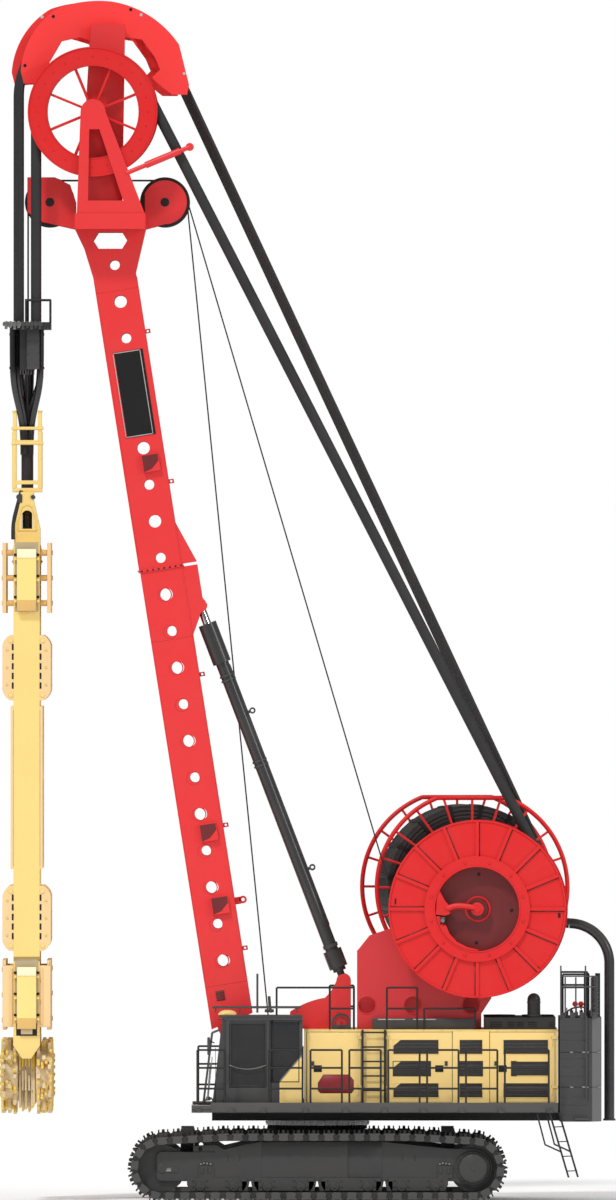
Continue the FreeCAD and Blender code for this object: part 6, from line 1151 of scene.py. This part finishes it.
covers = [ring(BORE, 0.10, 0, 0.03, 22, at(x, side * 0.35, 20.748) @ face, 0.09)
          for x in (-5.398, -3.006) for side, face in OUT.items()]
finish_piece("sheave_covers", covers, dark_steel, "mast")

# %% [markdown]
# ## Luffing cylinders
# Oil pipes run along the barrels in clamps. Two arms on each barrel carry a ring, and three bands sit
# near its foot.

# %% Luffing cylinders
rings, runs, foot_bands = [], [], []
for side in (-1, 1):
    barrel, y = at(0.711, side * 0.39, 4.56) @ twist(-20.93, "Y"), -side * 0.16
    rings += [ring(0.134, 0.156, -0.02, 0.02, 26, barrel @ at(0, 0, along))
              for along in (4.80, 4.90, 6.70, 6.80)]
    rings += [block((0.02, y - 0.04, along - 0.03), (0.14, y + 0.04, along + 0.03), 0.008, barrel)
              for along in (1.35, 3.2, 5.1, 6.6)]
    runs += [pipe([(x, y, 1.2), (x, y, 7.0)], 0.018, place=barrel) for x in (0.09, 0.13)]
    for along in (2.44, 5.93):
        runs += [block((0.12, -0.02, along - 0.03), (0.20, 0.02, along + 0.03), 0.008, barrel),
                 ring(0.032, 0.066, -0.025, 0.025, 18, barrel @ at(0.235, 0, along) @ NEAR)]
    foot_bands += [ring(0.131, 0.158, -0.035, 0.035, 26, barrel @ at(0, 0, along))
                   for along in (0.46, 0.62, 0.78)]
finish_piece("barrel_clamps", rings, charcoal_paint, "luff_barrels")
finish_piece("barrel_pipes", runs, charcoal_paint, "luff_barrels")
finish_piece("barrel_bands", foot_bands, charcoal_paint, "luff_barrels")

# %% [markdown]
# ## Cutting wheels
# Each wheel carries rows of chisels with carbide tips. One chisel is modelled and copied round the drum,
# and every row is turned a little further than its neighbour so the chisels cut a whole circle.

# %% Cutting wheels
MID, HUB_Y, HUB_Z = -5.869, 0.82, 2.6
WHEEL_ROWS = [(0.245, 0, 12), (0.325, 14, 7), (0.405, 6, 7), (0.50, 10, 14)]


def chisel_holder():
    foot = block((-0.034, -0.075, -0.05), (0.034, 0.06, 0.07), 0.012)
    shank = block((-0.026, -0.04, 0.03), (0.026, 0.04, 0.155), 0.012, at(0, 0.012, 0) @ twist(-22, "X"))
    return joined([foot, shank])


def chisel_tip():
    return cutout([(-0.034, -0.02), (0.034, -0.02), (0.026, 0.075), (-0.026, 0.075)], 0.04, 0.004,
                  at(0, 0.040, 0.105) @ twist(-28, "X"))


for name, side in (("cutting_wheels_near", -1), ("cutting_wheels_far", 1)):
    axle = at(MID, side * HUB_Y, HUB_Z)
    places, ends = [], []
    for end, face in ENDS.items():
        flip = twist(180, "Z") if end > 0 else UP
        for reach, first, count in WHEEL_ROWS:
            places += [axle @ at(end * reach, 0, 0) @ turn @ flip
                       for turn in circle_of(count, 0.60, "X", first + 4 * end)]
        ends.append(turned([(BORE, 0), (0.20, 0), (0.24, 0.012), (0.46, 0.012), (0.47, 0), (0.54, 0),
                            (0.55, -0.02), (BORE, -0.02)], 40, axle @ at(end * 0.531, 0, 0) @ face))
        ends.append(bolts([axle @ at(end * 0.543, 0, 0) @ turn @ face for turn in circle_of(16, 0.41, "X")],
                          0.035, UP))
    finish_piece(name + "_holders", [copies(chisel_holder(), places)], tooth_steel, name)
    finish_piece(name + "_tips", [copies(chisel_tip(), places)], carbide, name)
    finish_piece(name + "_end_plates", ends, tooth_steel, name)

# %% [markdown]
# Between a wheel's two drums the gear shield carries fixed scrapers. They are narrow, hang below the
# shield and stand clear of both drums.

# %% Scrapers on the shields
scrapers, tips = [], []
for side in (-1, 1):
    for k, (shift, low, reach) in enumerate(((-0.145, 1.93, 0.30), (-0.085, 1.86, 0.12), (-0.02, 1.90, 0.22),
                                             (0.05, 1.84, 0.05), (0.11, 1.92, 0.26), (0.15, 1.99, 0.34))):
        x = MID + shift
        for turn in (-1, 1):
            y = side * HUB_Y + turn * reach
            scrapers.append(block((x - 0.024, y - 0.05, low + 0.05), (x + 0.024, y + 0.05, 2.52), 0.01))
            tips.append(block((x - 0.02, y - 0.035, low), (x + 0.02, y + 0.035, low + 0.10), 0.008))
        scrapers.append(plate(side, 1.15, about(x, 0.02), (2.30, 2.62 + 0.09 * (k % 3)), 0.035, 0.01, 0.02))
        tips.append(plate(side, 1.15, about(x, 0.016), (2.72 + 0.07 * (k % 2), 3.12), 0.035, 0.008, 0.02))
finish_piece("shield_scrapers", scrapers, core_steel, "cutter")
finish_piece("scraper_tips", tips, carbide, "cutter")

# %% [markdown]
# ## Cutter frame
# The frame guides itself on flaps and rounded shoes. Its flaps turn on bolted pins, its windows show the
# suction pipe with the pump, and hoses and cylinders run beside it.

# %% Flaps and side plates
COLUMN_Y, COLUMN_HALF, FLAP_Y = 1.5, 0.2725, 1.64
strips, lower, pins, slots, shade, webs = [], [], [], [], [], []
for side in (-1, 1):
    for low in (12.25, 3.58):
        for group, up in ((strips, (low + 1.10, low + 1.29)), (lower, (low, low + 0.22))):
            group.append(plate(side, FLAP_Y, about(MID, 0.20), up, 0.014, 0.012, 0.004))
        for share in (0.16, 0.5, 0.84):
            z = low + 1.29 * share
            for x in (MID - 0.235, MID + 0.235):
                pins.append(bar((x, side * COLUMN_Y, z), (x, side * 1.585, z), 0.032, 12))
                pins.append(plate(side, COLUMN_Y, (x, MID), about(z, 0.03), 0.04, 0.008))
                slots.append(plate(side, 1.498, about(x, 0.03), (z + 0.06, z + 0.11), 0.014))
    # Beige plates over the flap recesses paint their shade.
    shade += [plate(side, COLUMN_Y, about(MID, 0.245), up, 0.006, 0.003, 0.004)
              for up in ((12.24, 13.68), (3.72, 5.03))]
    for edge in (-1, 1):
        webs += [plate(side, COLUMN_Y, (MID + edge * start, MID + edge * end), up, proud, soft, sunk)
                 for start, end, up, proud, soft, sunk in (
                     (0.27, 0.50, (3.62, 4.90), 0.0, 0.02, 0.44),
                     (0.30, 0.335, (3.67, 4.85), 0.03, 0.008, 0.0),
                     (0.43, 0.47, (4.90, 5.0), 0.0, 0.01, 0.2))]
edges = [block((MID - 0.27, inner, 4.99), (MID + 0.27, outer, 5.08), 0.003)
         for inner, outer in ((-1.506, -1.492), (1.496, 1.51))]
finish_piece("flap_top_strips", strips, pale_yellow, "cutter")
finish_piece("flap_lower_strips", lower, orange_paint, "cutter")
finish_piece("flap_pins", pins, cutter_paint, "cutter")
finish_piece("flap_slots", slots, black_paint, "cutter")
finish_piece("flap_recesses", shade, recess_shade_paint, "cutter")
finish_piece("lower_side_plates", webs, web_paint, "cutter")
finish_piece("column_lower_edge", edges, olive_paint, "cutter")

# %% [markdown]
# The rounded shoes have rows of dark slots, bolts and bosses on both sides, and the flaps' pins collars.

# %% Shoes and pin collars
collars, dark, heads, bosses = [], [], [], []
for side in (-1, 1):
    face_x = MID + side * COLUMN_HALF
    for low in (10.4, 5.2):
        for y, out in ((-1.5, -1), (-1.05, 1), (1.05, -1), (1.5, 1)):
            dark += [block((face_x - side * 0.004, y, low + z),
                           (face_x + side * 0.035, y + out * 0.006, low + z + 0.13),
                           0.003) for z in (0.24, 0.44, 0.64, 0.84, 1.04)]
            heads.append(bolts([at(face_x + side * 0.13, y, low + z) for z in (0.32, 0.68, 1.04)],
                               0.026, OUT[out]))
            x = face_x + side * 0.06
            bosses += [bar((x, y - 0.02, low + z), (x, y + 0.02, low + z), 0.045, 14) for z in (0.11, 1.24)]
    collars += [bar((face_x + side * start, y, z), (face_x + side * end, y, z), radius, 14)
                for z in [low + 1.456 * share for low in (12.21, 3.56) for share in (0.14, 0.5, 0.86)]
                for y in (-1.275, 1.275)
                for start, end, radius in ((0.01, 0.145, 0.062), (0.225, 0.245, 0.05))]
finish_piece("shoe_slots", dark, black_paint, "cutter")
finish_piece("shoe_bolts", heads, cutter_paint, "cutter")
finish_piece("shoe_bosses", bosses, cutter_paint, "cutter")
finish_piece("flap_pin_collars", collars, orange_paint, "cutter")

# %% [markdown]
# The windows between the crossbeams hold the working parts: the suction pipe, the pump with its volute,
# hydraulic cylinders for the flaps, valve blocks and bundles of small pipes.

# %% Working parts in the windows
BEAM_STEP = 2.3675
tubes, fittings, machines = [bar((MID, 0, 3.9), (MID, 0, 13.4), 0.115, 28)], [], []
for k in range(4):
    for z in (4.16 + BEAM_STEP * k, 6.02 + BEAM_STEP * k):
        tubes.append(ring(0.10, 0.17, 0, 0.035, 28, at(MID, 0, z)))
        fittings.append(bolt_circle(at(MID, 0, z + 0.035), 8, 0.143, 0.016, UP, "Z"))
    for z in (4.50, 5.10, 5.70):
        fittings += [block((MID - 0.16, y - 0.13, z + BEAM_STEP * k),
                           (MID - 0.08, y + 0.13, z + 0.06 + BEAM_STEP * k),
                           0.01) for y in (-0.54, 0.54)]
tubes += [bar((MID - 0.12, y, 4.2), (MID - 0.12, y, 13.1), 0.026, 10)
          for y in (-0.62, -0.54, -0.46, 0.46, 0.54, 0.62)]
machines += [turned([(0.10, -0.16), (0.34, -0.16), (0.42, -0.06), (0.42, 0.06), (0.34, 0.16), (0.10, 0.16)],
                    40, at(MID, 0, 4.95) @ ENDS[1]),
             bar((MID, 0.30, 4.6), (MID, 0.30, 5.9), 0.17, 24),
             bolt_circle(at(MID - 0.16, 0, 4.95), 12, 0.36, 0.03, ENDS[-1], "X")]
for y in (-0.83, 0.83):
    for z in (4.25 + BEAM_STEP, 4.25 + BEAM_STEP * 3):
        machines += [bar((MID, y, z), (MID, y, z + 1.1), 0.085, 20),
                     block((MID - 0.10, y - 0.12, z), (MID + 0.10, y + 0.12, z + 0.12), 0.02)]
        fittings.append(bar((MID, y, z + 1.1), (MID, y, z + 1.8), 0.042, 16))
for side in (-1, 1):
    y = side * 0.85
    for z in (4.35, 4.35 + BEAM_STEP * 2):
        machines.append(block((MID - 0.17, y - 0.15, z + 0.2), (MID + 0.14, y + 0.15, z + 1.0), 0.02))
        fittings.append(bolts([at(MID - 0.17, y + dy, z + dz) for dy in (-0.11, 0.11)
                               for dz in (0.26, 0.48, 0.72, 0.94)], 0.02, ENDS[-1]))
        tubes.append(pipe([(MID - 0.10, y, z + 1.0), (MID - 0.10, y, z + 1.3),
                           (MID - 0.12, side * 0.70, z + 1.5), (MID - 0.12, side * 0.62, z + 1.7)], 0.03, 8, True))
finish_piece("window_pipes", tubes, dark_steel, "cutter")
finish_piece("window_clamps", fittings, plain_steel, "cutter")
finish_piece("window_machines", machines, charcoal_paint, "cutter")

# %% [markdown]
# Rings of bolts close the gear shields, bolted plates mark the crossbeams, and the column ends in a slotted
# nose on each side.

# %% Beam plates, shields and noses
rings, sheets = [], []
for end, face in ENDS.items():
    for y in (-HUB_Y, HUB_Y):
        hub = at(MID + end * 0.181, y, HUB_Z)
        rings += [ring(0.17, 0.25, 0, 0.012, 36, hub @ face, 0.24),
                  bolt_circle(hub, 10, 0.285, 0.02, face, "X")]
    x = MID + end * COLUMN_HALF
    a, b = x - end * 0.004, x + end * 0.014
    for low in [3.7 + BEAM_STEP * k for k in range(5)]:
        sheets.append(block((a, -1.0, low + 0.05), (b, 1.0, low + 0.40)))
        sheets.append(bolts([at(b, y, low + z) for y in (-0.9, -0.45, 0, 0.45, 0.9) for z in (0.11, 0.34)],
                            0.028, face))
    sheets += [block((a, y, 6.95), (b, y * 0.96, 10.2)) for y in (-1.5, 1.5)]
nose = cutout([(MID + x, z) for x, z in ((-0.28, 3.44), (-0.28, 3.24), (-0.095, 2.965), (0.095, 2.965),
                                         (0.28, 3.24), (0.28, 3.44))], 0.05, 0.01)
noses = [copies(nose, [at(0, -1.50, 0), at(0, 1.45, 0)])]
noses += [block((MID + x - 0.03, y - 0.02, 3.40), (MID + x + 0.03, y + 0.02, 3.78))
          for y in (-1.475, 1.475) for x in (-0.245, 0.245)]
finish_piece("column_noses", noses, cutter_paint, "cutter")
black = [block((MID - 0.22, y - 0.012, 3.43), (MID + 0.22, y + 0.012, 3.72), 0.004) for y in (-1.47, 1.47)]
finish_piece("nose_slots", black, black_paint, "cutter")
grey = [block((MID - 0.12, y - 0.006, z), (MID + 0.12, y + 0.006, z + tall), 0.003)
        for y in (-1.482, 1.482) for z, tall in ((3.47, 0.13), (3.67, 0.05))]
finish_piece("nose_slot_blocks", grey, core_steel, "cutter")
finish_piece("shield_rings", rings, cutter_paint, "cutter")
finish_piece("beam_plates", sheets, cutter_paint, "cutter")

# %% [markdown]
# ## Cutter head, cage and hose box
# The head has a raised ledge round its arched window, and the cage above it stands on four tubes.

# %% Head and cage
outline = [(0.19, 13.93), (0.19, 14.12), (0.145, 14.30), (0.10, 14.42), (0.0, 14.47), (-0.10, 14.42),
           (-0.145, 14.30), (-0.19, 14.12), (-0.19, 13.93)]
ledge = [pipe([(MID + x, y, z) for x, z in outline + outline[:1]], 0.016) for y in (-0.405, 0.405)]
ledge.append(block((MID - 0.31, -0.31, 14.72), (MID + 0.31, 0.31, 14.81), 0.015))
for x in (MID - 0.27, MID + 0.27):
    for y in (-0.27, 0.27):
        ledge += [bar((x, y, 14.80), (x, y, 15.98), 0.047, 14),
                  ring(BORE, 0.05, 0, 0.03, 14, at(x, y, 16.39), 0.035)]
ledge += [bar((MID - 0.33, y, z), (MID + 0.33, y, z), 0.034) for z in (15.74, 16.05) for y in (-0.30, 0.30)]
finish_piece("cage_tubes", ledge, cutter_paint, "cutter")
pinned = [bar((MID - 0.17, -0.43, 14.62), (MID - 0.17, 0.43, 14.62), 0.06, 18),
          bar((MID + 0.12, -0.43, 14.62), (MID + 0.12, 0.43, 14.62), 0.045, 18),
          block((MID - 0.20, -0.42, 14.50), (MID - 0.10, -0.36, 14.68), 0.02)]
finish_piece("head_pins", pinned, charcoal_paint, "cutter")
line_left = pipe([(-5.99, -0.30, 14.75), (-6.033, -0.33, 14.58), (-6.095, -0.36, 14.35),
                  (-6.15, -0.38, 14.14), (-6.165, -0.40, 13.95), (-6.16, -0.42, 13.74)], 0.042, 10, True)
inner = pipe([(MID, 0, 13.7), (MID, 0, 14.7)], 0.10, 16)
finish_piece("head_hoses", [line_left, inner], rubber, "cutter")

# %% [markdown]
# Above the cage the hoses pass through a bolted box, and a row of clamps holds them to the beam.

# %% Hose box and clamps
box_parts = [block((MID - 0.005, -0.86, 17.27), (MID + 0.26, -0.80, 18.16), 0.012),
             bolts([at(MID + x, -0.862, 17.36 + 0.24 * k) for x in (0.03, 0.22) for k in range(4)], 0.018)]
box_parts += [block((MID - 0.15 + 0.055 * k, -0.80, 17.16), (MID - 0.12 + 0.055 * k, -0.74, 17.28))
              for k in range(6)]
finish_piece("hose_box", box_parts, charcoal_paint, "hang")
# The clamps are one row. The first four and the bar's left half are bright steel. The rest are charcoal: painted
# shade over the right part of the row.
clamps, shaded_clamps = [], []
for k in range(9):
    x = -6.30 + 0.088 * k
    group = clamps if k < 4 else shaded_clamps
    group += [ring(0.04, 0.07, -0.02, 0.06, 14, at(x, -1.06 - 0.02 * (k % 2), 18.19)),
              block((x - 0.03, -1.11, 18.10 + 0.03 * (k % 2)), (x + 0.03, -1.07, 18.27), 0.008),
              bolts([at(x, -1.11, 18.22)], 0.02)]
clamps += [ring(0.05, 0.085, 0, 0.09, 14, at(-6.25, y, 18.17)) for y in (-1.0, -0.5, 0.0, 0.5)]
clamps.append(bar((-6.33, -1.05, 18.175), (-6.03, -1.05, 18.175), 0.03, 10))
shaded_clamps.append(bar((-6.03, -1.05, 18.175), (-5.56, -1.05, 18.175), 0.03, 10))
finish_piece("hose_clamps", clamps, plain_steel, "hang")
finish_piece("hose_clamps_dark", shaded_clamps, charcoal_paint, "hang")
thick = []
for x, y, drift in ((-6.165, -0.62, -0.06), (-6.085, -0.50, -0.02), (-6.15, -0.10, -0.05), (-6.03, 0.1, 0.0),
                    (-6.15, 0.45, -0.04), (-5.583, -0.62, 0.05), (-5.60, -0.20, 0.03), (-5.60, 0.35, 0.04),
                    (-5.96, 0.55, 0.0), (-5.80, 0.55, 0.02)):
    mid_x = MID + drift * 1.3
    thick.append(pipe([(x, y, 18.14), (x, y, 17.6), (x, y, 17.15), (x * 0.75 + mid_x * 0.25, y * 0.7, 16.75),
                       (x * 0.25 + mid_x * 0.75, y * 0.35, 16.35), (mid_x, y * 0.2, 15.95),
                       (mid_x, y * 0.2, 15.5)], 0.066, 12, True))
finish_piece("thick_hoses", thick, black_hose, "hang")
bands = [ring(0.064, 0.074, -0.025, 0.025, 16, at(x, y, z)) for z in (18.0, 17.3)
         for x, y in ((-6.165, -0.62), (-6.085, -0.50), (-5.583, -0.62))]
finish_piece("hose_bands", bands, dark_steel, "hang")
